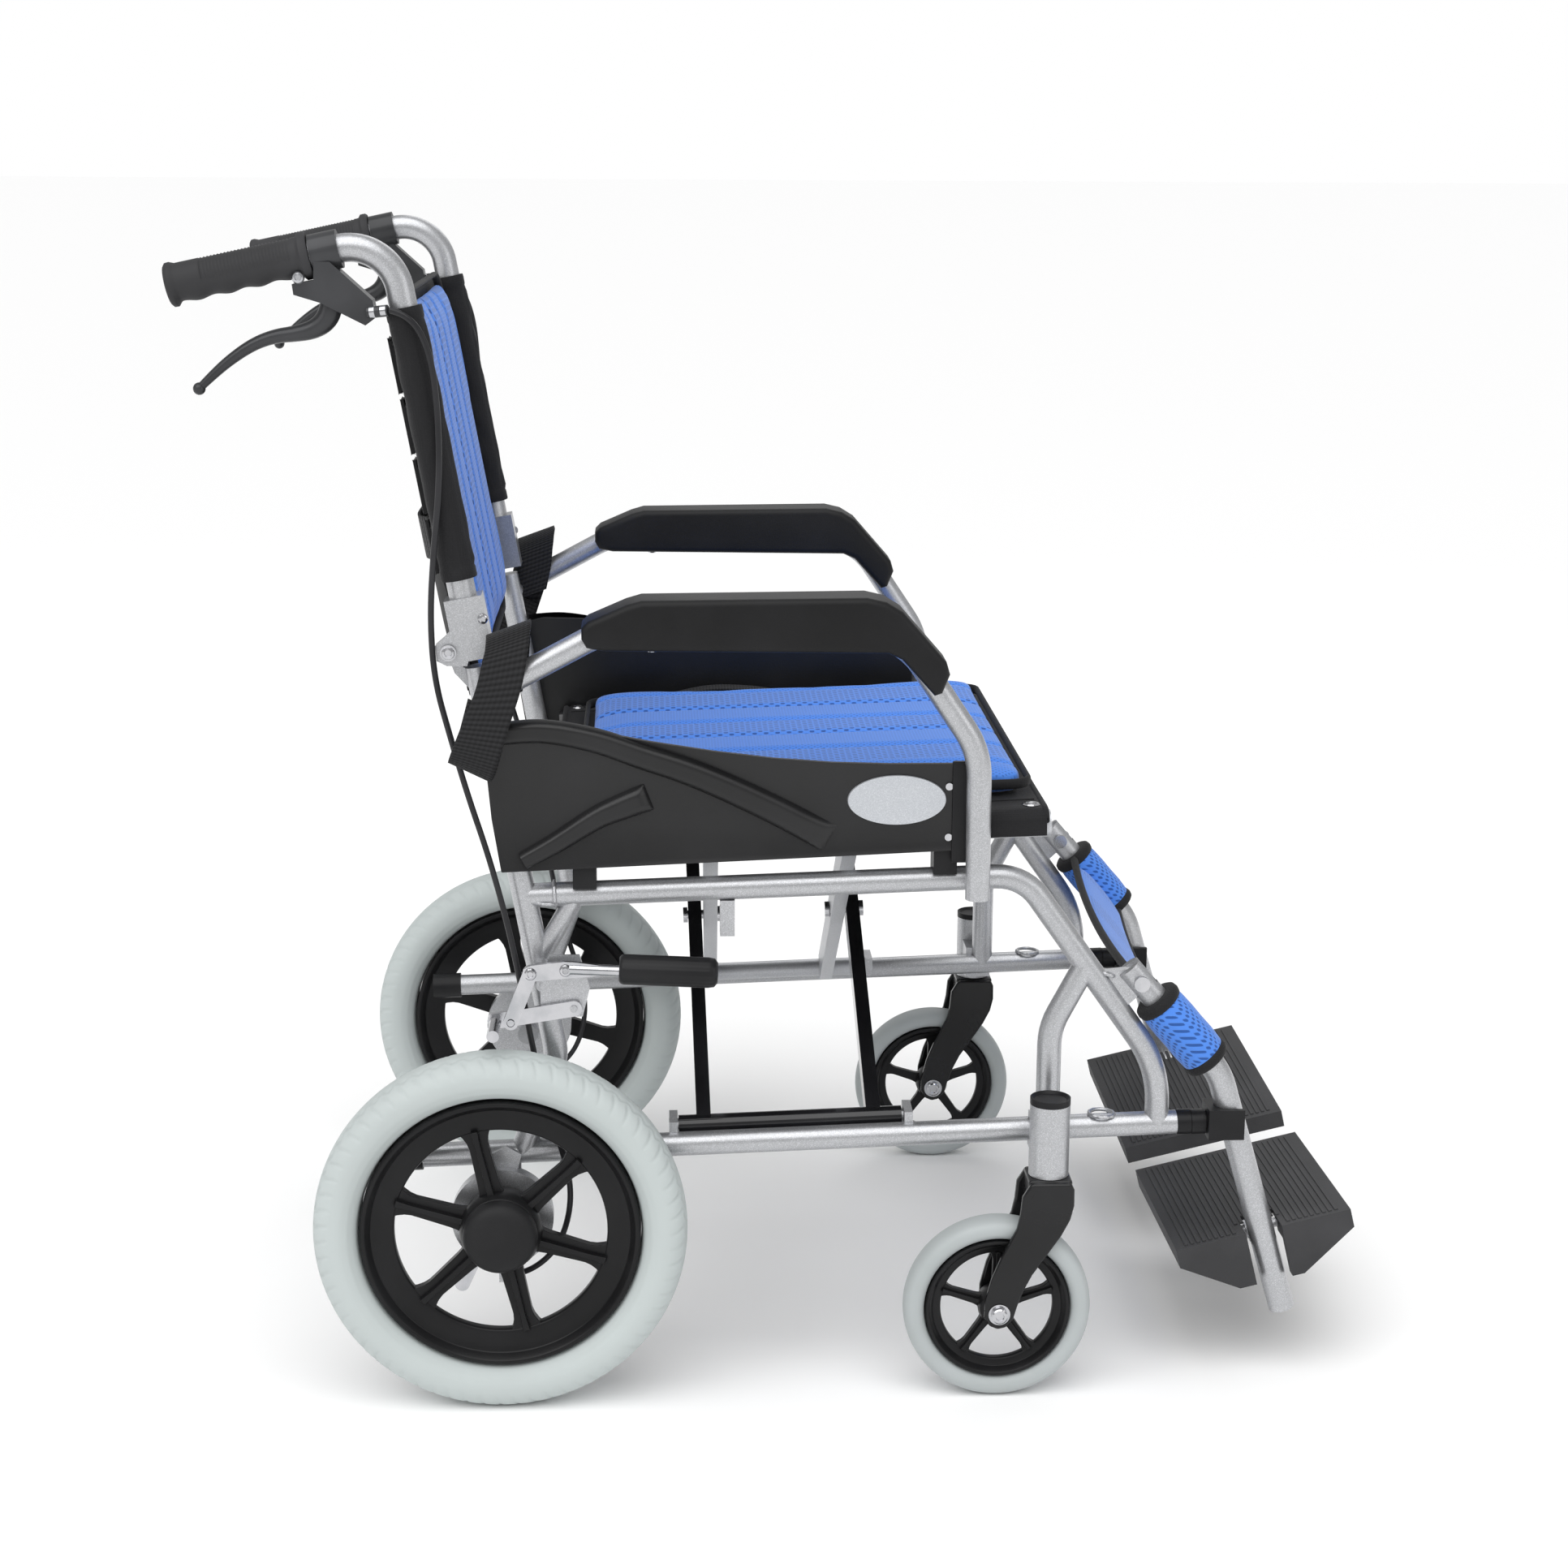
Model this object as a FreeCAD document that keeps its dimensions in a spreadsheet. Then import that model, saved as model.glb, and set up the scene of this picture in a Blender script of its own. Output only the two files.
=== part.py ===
import FreeCAD, Part
import Sketcher
import math
import os
import re

# A folding transport wheelchair: two welded side frames, a scissor cross brace between them,
# a sling seat and back, fold-down back canes with brake levers, swivel castors and flip-up footplates.
# Millimetres. +X is forward, +Y is the user's left, +Z is up. The floor is z = 0.
# Lengths along the chair are measured forward from the rear axle; heights from the floor.

V = FreeCAD.Vector
doc = FreeCAD.newDocument("transport_wheelchair")
sheet = doc.addObject("Spreadsheet::Sheet", "sizes")

SIZES = {
    # whole chair
    "axle_x": -235.9, "frame_y": 233, "rail_slope": 2.0,
    # side frame
    "frame_tube": 20, "lower_rail_z": 210, "upper_rail_z": 429.7, "rail_ref": 250,
    "lower_rail_rear": -66, "lower_rail_front": 562, "upper_rail_bend": 428, "front_post_x": 545.5,
    "front_bend_z": 270, "branch_x": 453.5, "branch_top_x": 482, "branch_top_z": 360, "branch_bend_z": 305,
    "post_top_x": -13, "post_top_z": 612, "post_bend_x": 46, "post_bend_z": 285, "post_foot_x": 16,
    "axle_plate_wide": 30, "axle_plate_tall": 74, "axle_plate_thick": 12,
    "small_bend": 42, "wide_bend": 100, "mid_bend": 60,
    # castor
    "castor_y": 275, "castor_x": 409, "castor_radius": 77.9, "castor_tyre_wide": 28, "castor_rim_radius": 60,
    "castor_window_radius": 47, "castor_hub_radius": 15, "castor_rim_wide": 22, "castor_axle": 8,
    "stem_x": 449.5, "stem_pin": 16, "housing_radius": 16.5, "housing_foot": 193, "housing_top": 254,
    "fork_arm_thick": 4.5, "fork_crown_top": 192, "fork_crown_foot": 172,
    # rear wheel
    "wheel_y": 280, "wheel_radius": 152.4, "tyre_wide": 46, "rim_radius": 114.5, "window_radius": 87,
    "rim_wide": 30, "hub_radius": 30, "hub_wide": 34, "hub_cap_radius": 24, "axle_pin": 12, "spoke_wide": 20,
    "drum_radius": 42, "drum_thick": 12, "drum_y": 246,
    # cross brace and seat
    "hinge_y": 213, "hinge_z": 219, "seat_rail_z": 473, "seat_rail_tube": 22, "hinge_tube": 17,
    "brace_wide": 12, "brace_deep": 24, "brace_gap": 14, "brace_rear_x": 167, "brace_front_x": 309,
    "seat_rail_rear": 44, "seat_rail_front": 458, "pivot_bolt": 8,
    "sling_thick": 3, "sling_rear": 49, "sling_front": 454, "cushion_thick": 22, "cushion_half": 203,
    "cushion_rear": 71, "cushion_front": 450,
    # back
    "cane_tube": 22, "cane_foot_z": 622, "cane_corner_z": 945.7, "cane_bend": 38, "grip_slope": 12.2,
    "grip_start": 62, "grip_length": 112, "grip_diameter": 31, "back_pin_x": -34.6, "back_pin_z": 624.9,
    "back_pin": 8, "sleeve_top_z": 894, "sleeve_foot_z": 682, "sleeve_wall": 2, "back_sling_thick": 3,
    "back_cushion_thick": 14, "back_cushion_half": 196, "back_cushion_top": 903, "back_cushion_foot": 586,
    # armrest and side panel
    "armrest_y": 261, "armrest_top_z": 642, "armrest_front_x": 387.5, "armrest_foot_z": 424,
    "pad_rear": 72, "pad_front": 336, "pad_wide": 44, "pad_tall": 42, "pad_foot_z": 632,
    "panel_thick": 3, "panel_y": 246.4,
    # brakes
    "park_plate_y": 253.6, "park_thick": 3, "lever_pin": 6, "cable": 5,
    # leg rest
    "leg_tube": 22, "leg_pin_x": 527, "leg_pin_z": 345.7, "leg_bend_x": 597, "leg_bend_z": 264,
    "leg_foot_x": 659.5, "leg_foot_z": 53, "leg_pin": 8,
    "plate_axis_y": 213, "plate_axis_x": 641, "plate_axis_z": 118, "plate_pitch": 13.6, "plate_droop": 3.4,
    "plate_rear": 76, "plate_front": 75, "plate_inner_y": 28, "plate_pin": 8, "plate_outer_y": 245, "plate_deep": 16,
    "plate_skin": 4, "plate_above": 8,
    # fits
    "running": 0.05, "slack": 0.4,
}
for row, (alias, number) in enumerate(SIZES.items(), 1):
    sheet.set("A%d" % row, alias)
    sheet.set("B%d" % row, str(number))
    sheet.setAlias("B%d" % row, alias)
doc.recompute()


def size(alias):
    return float(sheet.get(alias))


def bind(thing, **formulas):
    """Bind each property to a formula of sheet cells."""
    for name, formula in formulas.items():
        thing.setExpression(name, re.sub(r"[a-z_]+", lambda w: "sizes." + w[0] if w[0] in SIZES else w[0], formula))
    thing.recompute()


def at(along, across, up):
    """A point given forward of the rear axle, to the left, and above the floor."""
    return V(size("axle_x") + along, across, up)


# ---------------------------------------------------------------- shared shapes
def turned(direction):
    return FreeCAD.Rotation(V(0, 0, 1), direction)


def rod(name, diameter, length, start, direction):
    """A cylinder from a start point; diameter and length are formulas."""
    piece = doc.addObject("Part::Cylinder", name)
    bind(piece, Radius="(%s) / 2" % diameter, Height=length)
    piece.Placement = FreeCAD.Placement(start, turned(direction))
    return piece


def cross_rod(name, diameter, along, up, near, far):
    """A cylinder across the chair from y = near to y = far."""
    piece = doc.addObject("Part::Cylinder", name)
    bind(piece, Radius="(%s) / 2" % diameter)
    piece.Height = abs(far - near)
    piece.Placement = FreeCAD.Placement(at(along, near, up), turned(V(0, math.copysign(1, far - near), 0)))
    return piece


def block(name, length, width, height, corner, turn=None):
    """A box from its low corner; its three sizes are formulas."""
    piece = doc.addObject("Part::Box", name)
    bind(piece, Length=length, Width=width, Height=height)
    piece.Placement = FreeCAD.Placement(corner, turn or FreeCAD.Rotation())
    return piece


def joined(name, pieces):
    whole = doc.addObject("Part::MultiFuse", name)
    whole.Shapes = pieces
    return whole


def group(name, pieces):
    """Separate solids that share one node."""
    whole = doc.addObject("Part::Compound", name)
    whole.Links = pieces
    return whole


def cut(name, base, tool):
    whole = doc.addObject("Part::Cut", name)
    whole.Base = base
    whole.Tool = tool
    return whole


def mirrored(piece, name):
    twin = doc.addObject("Part::Mirroring", name)
    twin.Source = piece
    twin.Base = V(0, 0, 0)
    twin.Normal = V(0, 1, 0)
    return twin


def draw(sketch, corners):
    """A closed outline of straight lines."""
    for number, corner in enumerate(corners):
        sketch.addGeometry(Part.LineSegment(corner, corners[(number + 1) % len(corners)]), False)
    for number in range(len(corners)):
        sketch.addConstraint(Sketcher.Constraint("Coincident", number, 2, (number + 1) % len(corners), 1))


def plate(name, outline, near, thickness, origin="axle_x"):
    """A flat plate in the XZ plane, from y = near outwards to the right; outline points are (along, up)."""
    body = doc.addObject("PartDesign::Body", name)
    sketch = body.newObject("Sketcher::SketchObject", name + "_outline")
    plane = [f for f in body.Origin.OriginFeatures if f.Role == "XZ_Plane"][0]
    sketch.AttachmentSupport = [(plane, "")]
    sketch.MapMode = "FlatFace"
    shift = size(origin) if origin else 0
    draw(sketch, [V(shift + along, up, 0) for along, up in outline])
    pad = body.newObject("PartDesign::Pad", name + "_pad")
    pad.Profile = sketch
    bind(pad, Length=thickness)
    body.Placement = FreeCAD.Placement(V(0, near, 0), FreeCAD.Rotation())
    return body


def path(points, bends):
    """Straight runs between points joined by tangent arcs; bends holds one radius per inner point."""
    edges = []
    start = points[0]
    for before, corner, after, radius in zip(points, points[1:], points[2:], bends):
        into = (corner - before).normalize()
        away = (after - corner).normalize()
        turn = into.getAngle(away)
        reach = radius * math.tan(turn / 2)
        first = corner - into * reach
        last = corner + away * reach
        inward = (away - into).normalize()
        centre = corner + inward * (radius / math.cos(turn / 2))
        middle = centre - inward * radius
        edges.append(Part.LineSegment(start, first).toShape())
        edges.append(Part.Arc(first, middle, last).toShape())
        start = last
    edges.append(Part.LineSegment(start, points[-1]).toShape())
    return Part.Wire(edges)


def swept(name, diameter, wire, direction):
    """A round bar along a wire, with its diameter bound to the sheet."""
    spine = doc.addObject("Part::Feature", name + "_line")
    spine.Shape = wire
    ring = doc.addObject("Part::Circle", name + "_ring")
    bind(ring, Radius="(%s) / 2" % diameter)
    ring.Placement = FreeCAD.Placement(wire.Edges[0].valueAt(wire.Edges[0].FirstParameter), turned(direction))
    bar = doc.addObject("Part::Sweep", name)
    bar.Sections = [ring]
    bar.Spine = (spine, ["Edge%d" % (n + 1) for n in range(len(wire.Edges))])
    bar.Solid = True
    bar.Frenet = True
    return bar


def bent_tube(name, diameter, points, bends):
    return swept(name, diameter, path(points, bends), points[1] - points[0])


SUBPARTS = {}


def keep(node, piece):
    piece.Label = node
    SUBPARTS[node] = piece
    return piece


def keep_pair(node, piece):
    """The right piece, and its mirror image on the left."""
    keep("right_" + node, piece)
    keep("left_" + node, mirrored(piece, "left_" + node))


# Everything from here to the cross brace is the right side, at negative y.
SIDE = -size("frame_y")
SLOPE = math.tan(math.radians(size("rail_slope")))


def rail_z(cell, along):
    """Height of a sloping rail's centre line."""
    return size(cell) + SLOPE * (along - size("rail_ref"))


def post_x(up):
    """The rear post and the cane above it lie on one leaning line."""
    lean = (size("post_bend_x") - size("post_top_x")) / (size("post_top_z") - size("post_bend_z"))
    return size("post_top_x") + lean * (size("post_top_z") - up)


LEAN = V(post_x(1) - post_x(0), 0, 1).normalize()


# ---------------------------------------------------------------- side frame
def side_frame():
    low = size("lower_rail_rear")
    front = size("lower_rail_front")
    bend = size("upper_rail_bend")
    rear_top = post_x(rail_z("upper_rail_z", 22))
    lower = bent_tube("lower_rail", "frame_tube",
                      [at(low, SIDE, rail_z("lower_rail_z", low)), at(front, SIDE, rail_z("lower_rail_z", front))], [])
    post = size("front_post_x")
    upper = bent_tube("upper_rail", "frame_tube",
                      [at(rear_top, SIDE, rail_z("upper_rail_z", rear_top)),
                       at(bend, SIDE, rail_z("upper_rail_z", bend)),
                       at(post, SIDE, size("front_bend_z")),
                       at(post, SIDE, rail_z("lower_rail_z", post))],
                      [size("small_bend"), size("wide_bend")])
    branch = size("branch_x")
    fork_post = bent_tube("front_branch", "frame_tube",
                          [at(size("branch_top_x"), SIDE, size("branch_top_z")),
                           at(branch, SIDE, size("branch_bend_z")),
                           at(branch, SIDE, rail_z("lower_rail_z", branch))], [size("mid_bend")])
    foot = size("post_foot_x")
    rear = bent_tube("rear_post", "frame_tube",
                     [at(size("post_top_x"), SIDE, size("post_top_z")),
                      at(size("post_bend_x"), SIDE, size("post_bend_z")),
                      at(foot, SIDE, rail_z("lower_rail_z", foot))], [size("small_bend")])
    gusset = bent_tube("rear_gusset", "frame_tube - 4",
                       [at(64, SIDE, rail_z("upper_rail_z", 64)), at(post_x(366), SIDE, 366)], [])
    axle_plate = block("axle_plate", "axle_plate_wide", "axle_plate_thick", "axle_plate_tall",
                       at(-size("axle_plate_wide") / 2, SIDE - 6, 132))
    housing = rod("castor_housing", "2 * housing_radius", "housing_top - housing_foot",
                  at(size("stem_x"), -size("castor_y"), size("housing_foot")), V(0, 0, 1))
    lug = block("housing_lug", "24", "castor_y - frame_y", "30", at(size("stem_x") - 12, -size("castor_y"), 203))
    arm_weld = block("armrest_weld", "16", "armrest_y - frame_y - 6", "14",
                     at(size("armrest_front_x") - 8, -size("armrest_y") + 10, 427))
    leg_lug = plate("leg_lug", [(478, 352), (527, 357), (537, 351), (538, 340), (528, 335), (508, 316)],
                    SIDE + 4, "8")
    brake_lug = block("stabiliser_lug", "12", "14", "30", at(180, SIDE - 7, 388))
    clips = [block("hinge_clip_%d" % n, "7", "frame_y - hinge_y + 10", "18", at(x, SIDE, rail_z("hinge_z", x) - 8))
             for n, x in enumerate((138, 334))]
    hinge_rod = rod("hinge_rod", "hinge_tube - 5", "204",
                    at(138, -size("hinge_y"), rail_z("hinge_z", 138)), V(1, 0, SLOPE))
    stub = cross_rod("armrest_rear_weld", "14", -6, 594, SIDE, -size("armrest_y") + 6)
    back_lug = plate("back_lug", [(-43.5, 625), (-41, 618.5), (-34.6, 616), (-31, 606), (-20, 594), (-8, 594),
                                  (-10, 610), (-24, 610.5), (-26, 620), (-26, 629), (-31, 633.5), (-38, 633.3),
                                  (-43, 629)], SIDE + 6, "6.6")
    solid = joined("side_frame_solid", [lower, upper, fork_post, rear, gusset, axle_plate, housing, lug, arm_weld,
                                        leg_lug, brake_lug, hinge_rod, back_lug] + clips + [stub])
    bores = joined("side_frame_bores", [
        rod("stem_bore", "stem_pin + 2 * running", "70", at(size("stem_x"), -size("castor_y"), 190), V(0, 0, 1)),
        cross_rod("axle_bore", "axle_pin", 0, size("wheel_radius"), SIDE + 20, SIDE - 20),
        cross_rod("leg_bore", "leg_pin", size("leg_pin_x"), size("leg_pin_z"), SIDE + 20, SIDE - 20),
        cross_rod("back_bore", "back_pin", size("back_pin_x"), size("back_pin_z"), SIDE + 20, SIDE - 20)])
    return cut("right_side_frame", solid, bores)


def armrest_tube():
    top = size("armrest_top_z")
    front = size("armrest_front_x")
    side = -size("armrest_y")
    bar = bent_tube("armrest_bar", "frame_tube",
                    [at(-4, side, 595), at(84, side, top), at(322, side, top), at(front - 1, side, 546),
                     at(front, side, size("armrest_foot_z"))], [50, size("mid_bend"), 70])
    return bar


def arm_pad():
    side = -size("armrest_y")
    rear = size("pad_rear")
    front = size("pad_front")
    low = size("pad_foot_z")
    top = low + size("pad_tall")
    slab = plate("arm_pad_slab", [(rear, low + 12), (rear + 8, low), (front - 16, low - 4), (front, low + 6),
                                  (front - 2, low + 22), (front - 28, top), (rear + 30, top), (rear + 2, top - 14)],
                 side + size("pad_wide") / 2, "pad_wide")
    channel = block("arm_pad_channel", "pad_front - pad_rear + 60", "frame_tube + 2 * slack", "40",
                    at(rear - 30, side - size("frame_tube") / 2 - size("slack"),
                       size("armrest_top_z") + size("frame_tube") / 2 + size("slack") - 40))
    return cut("right_arm_pad", slab, channel)


def side_panel():
    skin = plate("panel_skin", [(4, 446), (372, 462), (372, 533), (316, 533), (223, 539), (125, 553), (59, 566),
                                (12, 566), (2, 558), (-6, 524)], -size("panel_y"), "panel_thick")
    return skin


def frame_caps():
    """Plastic fittings on the frame: tip cap, castor housing caps and the two seat rail rests."""
    pieces = []
    tip = size("lower_rail_rear")
    direction = V(-1, 0, -SLOPE)
    start = at(tip - 0.2, SIDE, rail_z("lower_rail_z", tip))
    pieces.append(rod("tip_cap", "frame_tube + 4", "27", start, direction))
    stem = at(size("stem_x"), -size("castor_y"), size("housing_top") + 0.1)
    pieces.append(rod("housing_cap", "2 * housing_radius", "3", stem, V(0, 0, 1)))
    for number, along in enumerate((61, 353)):
        low = rail_z("upper_rail_z", along + 9) + size("frame_tube") / 2 - 3
        rest = block("rest_block_%d" % number, "19", "26", "34", at(along, SIDE - 13, low))
        cup = rod("rest_cup_%d" % number, "seat_rail_tube + 2", "40",
                  at(along - 10, SIDE, rail_z("seat_rail_z", along - 10)), V(1, 0, SLOPE))
        slot = rod("rest_tube_%d" % number, "frame_tube + 0.2", "40",
                   at(along - 10, SIDE, rail_z("upper_rail_z", along - 10)), V(1, 0, SLOPE))
        pieces.append(cut("seat_rest_%d" % number, rest, joined("rest_tools_%d" % number, [cup, slot])))
    return group("right_frame_caps", pieces)


def frame_bolts():
    """Rear axle bolt, back hinge pin, leg rest pivot bolt and the side panel screws."""
    pieces = []
    up = size("wheel_radius")
    axle = joined("axle_bolt", [
        cross_rod("axle_shank", "axle_pin", 0, up, SIDE + 12, -size("wheel_y") - 20),
        cross_rod("axle_nut", "axle_pin + 8", 0, up, SIDE + 18, SIDE + 6.2),
        cross_rod("axle_head", "axle_pin + 7", 0, up, -size("wheel_y") - 19, -size("wheel_y") - 26)])
    pieces.append(axle)
    for name, head, nut in (("leg_pin", SIDE - 11.4, SIDE + 11.4), ("back_pin", SIDE - 13.4, SIDE + 6.2)):
        along, up = size(name + "_x"), size(name + "_z")
        pieces.append(joined(name + "_bolt", [
            cross_rod(name + "_shank", name, along, up, nut + 0.5, head - 0.5),
            cross_rod(name + "_head", name + " + 5", along, up, head, head - 3),
            cross_rod(name + "_nut", name + " + 5", along, up, nut + 4, nut)]))
    for number, up in enumerate((473, 515)):
        pieces.append(cross_rod("panel_screw_%d" % number, "6", 364, up, -size("panel_y") - 3.1, -size("panel_y") - 5))
    return group("right_frame_bolts", pieces)


# ---------------------------------------------------------------- wheels
def ring(name, outer, inner, width, along, up, side, half):
    body = cross_rod(name + "_outer", outer, along, up, side + half, side - half)
    hole = cross_rod(name + "_inner", inner, along, up, side + half + 1, side - half - 1)
    return cut(name, body, hole)


def rear_rim():
    side = -size("wheel_y")
    up = size("wheel_radius")
    half = size("rim_wide") / 2
    hub_half = size("hub_wide") / 2
    hoop = ring("rim_hoop", "2 * rim_radius - 0.2", "2 * window_radius", "rim_wide", 0, up, side, half)
    hub = cross_rod("rim_hub", "2 * hub_radius", 0, up, side + hub_half, side - hub_half)
    spokes = []
    for number in range(6):
        spoke = block("rim_spoke_%d" % number, "window_radius + 4", "10", "spoke_wide", V(0, 0, 0))
        turn = FreeCAD.Rotation(V(0, 1, 0), 17 + 60 * number)
        corner = at(0, side - 5, up) - turn.multVec(V(0, 0, size("spoke_wide") / 2))
        spoke.Placement = FreeCAD.Placement(corner, turn)
        spokes.append(spoke)
    wheel = joined("rim_solid", [hoop, hub] + spokes)
    bore = joined("rim_bores", [
        cross_rod("rim_bore", "axle_pin + 2 * running", 0, up, side + 30, side - 30),
        cross_rod("rim_well", "axle_pin + 14", 0, up, side - 12, side - 30)])
    dome = cross_rod("hub_cap", "2 * hub_cap_radius", 0, up, side - hub_half - 0.1, -312)
    hollow = cross_rod("hub_cap_hollow", "axle_pin + 14", 0, up, side - hub_half + 2, side - 28)
    return group("right_rear_rim", [cut("rim_bored", wheel, bore), cut("hub_cap_shell", dome, hollow)])


def tyre(name, radius, inner, width, along, side):
    """A tyre with rounded shoulders, made by turning its section about the axle."""
    half = size(width) / 2
    outer = size(radius)
    low = size(inner)
    shoulder = half * 0.62
    body = doc.addObject("PartDesign::Body", name)
    sketch = body.newObject("Sketcher::SketchObject", name + "_section")
    plane = [f for f in body.Origin.OriginFeatures if f.Role == "XY_Plane"][0]
    sketch.AttachmentSupport = [(plane, "")]
    sketch.MapMode = "FlatFace"
    corners = [V(low, -half + 4, 0), V(low, half - 4, 0), V(low + 6, half, 0), V(outer - shoulder, half, 0),
               V(outer, half - shoulder, 0), V(outer, -half + shoulder, 0), V(outer - shoulder, -half, 0),
               V(low + 6, -half, 0)]
    draw(sketch, corners)
    lathe = body.newObject("PartDesign::Revolution", name + "_turned")
    lathe.Profile = sketch
    lathe.ReferenceAxis = (sketch, ["V_Axis"])
    lathe.Angle = 360
    body.Placement = FreeCAD.Placement(at(along, side, outer), FreeCAD.Rotation())
    return body


def castor_rim():
    side = -size("castor_y")
    up = size("castor_radius")
    along = size("castor_x")
    half = size("castor_rim_wide") / 2
    hoop = ring("castor_hoop", "2 * castor_rim_radius - 0.2", "2 * castor_window_radius", "castor_rim_wide",
                along, up, side, half)
    hub = cross_rod("castor_hub", "2 * castor_hub_radius", along, up, side + 13.2, side - 13.2)
    spokes = []
    for number in range(5):
        spoke = block("castor_spoke_%d" % number, "castor_window_radius + 3", "8", "11", V(0, 0, 0))
        turn = FreeCAD.Rotation(V(0, 1, 0), -90 - 72 * number)
        corner = at(along, side - 4, up) - turn.multVec(V(0, 0, 5.5))
        spoke.Placement = FreeCAD.Placement(corner, turn)
        spokes.append(spoke)
    wheel = joined("castor_rim_solid", [hoop, hub] + spokes)
    bore = cross_rod("castor_bore", "castor_axle + 2 * running", along, up, side + 20, side - 20)
    return cut("right_castor_rim", wheel, bore)


def castor_fork():
    """Two curved arms under a crown that turns on a stem; the wheel trails behind the stem."""
    side = -size("castor_y")
    half = size("castor_tyre_wide") / 2 + 1.2
    axle_x = size("castor_x")
    stem_x = size("stem_x")
    up = size("castor_radius")
    top = size("fork_crown_top")
    outline = [(stem_x - 18, top - 2), (stem_x + 18, top - 2), (stem_x + 19, top - 22), (stem_x + 6, top - 46),
               (axle_x + 18, up + 28), (axle_x + 13, up - 6), (axle_x + 6, up - 13), (axle_x - 6, up - 13),
               (axle_x - 13, up - 5), (axle_x - 13, up + 16), (axle_x - 4, up + 50), (stem_x - 24, top - 34)]
    inner = plate("fork_inner", outline, side + half + size("fork_arm_thick"), "fork_arm_thick")
    outer = plate("fork_outer", outline, side - half, "fork_arm_thick")
    crown = block("fork_crown", "36", "castor_tyre_wide + 6", "fork_crown_top - fork_crown_foot",
                  at(stem_x - 18, side - half - 1, size("fork_crown_foot")))
    stem = rod("fork_stem", "stem_pin", "60", at(stem_x, side, top - 1), V(0, 0, 1))
    pin = cross_rod("castor_axle_pin", "castor_axle", axle_x, up, side + half + 7, side - half - 7)
    heads = [cross_rod("castor_nut_%d" % n, "castor_axle + 5", axle_x, up, side + s * (half + 4.4),
                       side + s * (half + 8.4)) for n, s in enumerate((-1, 1))]
    return joined("right_castor_fork", [inner, outer, crown, stem, pin] + heads)


# ---------------------------------------------------------------- brakes
PARK = {"pivot": (54.9, 368.8), "rivet": (26.7, 366.0), "link": (10.0, 323.5), "arm": (61.1, 334),
        "shoe": (-2.5, 324)}


def park_bracket():
    near = -size("park_plate_y")
    skin = plate("park_plate", [(34, 326), (68, 326), (74, 350), (66, 378), (42, 378), (34, 352)], near, "park_thick")
    spacers = [cross_rod("park_spacer_%d" % n, "11", x, z, SIDE - 9, near - 1)
               for n, (x, z) in enumerate(((post_x(352) + 2, 352), (post_x(366) + 2, 366)))]
    pins = [cross_rod("park_pin_lever", "lever_pin", *PARK["pivot"], near - 1, -270),
            cross_rod("park_pin_arm", "lever_pin", *PARK["arm"], near - 1, -262)]
    return joined("right_park_bracket", [skin] + spacers + pins)


def strap(name, first, second, near, thickness, width, pins):
    """A flat link between two pivots, with rounded ends and bored holes; pins are bore diameters or None."""
    start = V(first[0], 0, first[1])
    run = V(second[0], 0, second[1]) - start
    far = near - thickness
    ends = [cross_rod(name + "_end_%d" % n, str(width), *point, near, far) for n, point in enumerate((first, second))]
    web = doc.addObject("Part::Box", name + "_web")
    web.Length = run.Length
    web.Width = thickness
    web.Height = width
    turn = FreeCAD.Rotation(V(1, 0, 0), run)
    web.Placement = FreeCAD.Placement(at(first[0], far, first[1]) - turn.multVec(V(0, 0, width / 2)), turn)
    solid = joined(name + "_solid", ends + [web])
    holes = [cross_rod(name + "_hole_%d" % n, bore, *point, near + 1, far - 1)
             for n, (point, bore) in enumerate(zip((first, second), pins)) if bore]
    return cut(name + "_bored", solid, joined(name + "_holes", holes) if len(holes) > 1 else holes[0]) if holes else solid


def park_arm():
    bar = strap("park_arm", PARK["arm"], PARK["shoe"], -257, 4, 13, ("lever_pin + 2 * running", None))
    shoe = cross_rod("park_shoe", "10", *PARK["shoe"], -257, -300)
    pin = cross_rod("park_link_pin", "lever_pin - 0.6", *PARK["link"], -260, -265)
    return joined("right_park_arm", [bar, shoe, pin])


def park_link():
    return strap("right_park_link", PARK["rivet"], PARK["link"], -261.4, 3, 12,
                 ("lever_pin + 2 * running", "lever_pin + 1"))


def park_lever():
    bar = strap("park_lever", PARK["rivet"], PARK["pivot"], -264.8, 3.6, 14, (None, "lever_pin + 2 * running"))
    tube = rod("park_lever_tube", "9", "66", at(58, -266.6, 369.6), V(1, 0, -0.05))
    grip = rod("park_lever_grip", "24", "78", at(99, -266.6, 369), V(1, 0, -0.05))
    neck = block("park_lever_neck", "22", "3.6", "12", at(56, -268.4, 364))
    rivet = cross_rod("park_rivet", "lever_pin", *PARK["rivet"], -261.2, -266)
    return joined("right_park_lever", [cut("park_lever_open", joined("park_lever_bar", [bar, neck, tube]),
                                           cross_rod("park_lever_bore", "lever_pin + 2 * running", *PARK["pivot"],
                                                     -262, -275)), grip, rivet])


def brake_drum():
    side = -size("drum_y")
    up = size("wheel_radius")
    drum = cross_rod("drum_body", "2 * drum_radius", 0, up, side, side - size("drum_thick"))
    tab = plate("drum_tab", [(-12, 188), (12, 188), (16, 205), (4, 212), (-10, 205)], side, "4")
    anchor = block("cable_anchor", "14", "8", "12", at(-4, side - 8, 94))
    neck = block("cable_anchor_neck", "8", "5", "20", at(0, side - 5, 100))
    pin = cross_rod("drum_arm_pin", "lever_pin", -22, 122, side, side - size("drum_thick") - 3.8)
    bore = cross_rod("drum_bore", "axle_pin + 0.2", 0, up, side + 5, side - 30)
    return cut("right_brake_drum", joined("drum_solid", [drum, tab, anchor, neck, pin]), bore)


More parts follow.
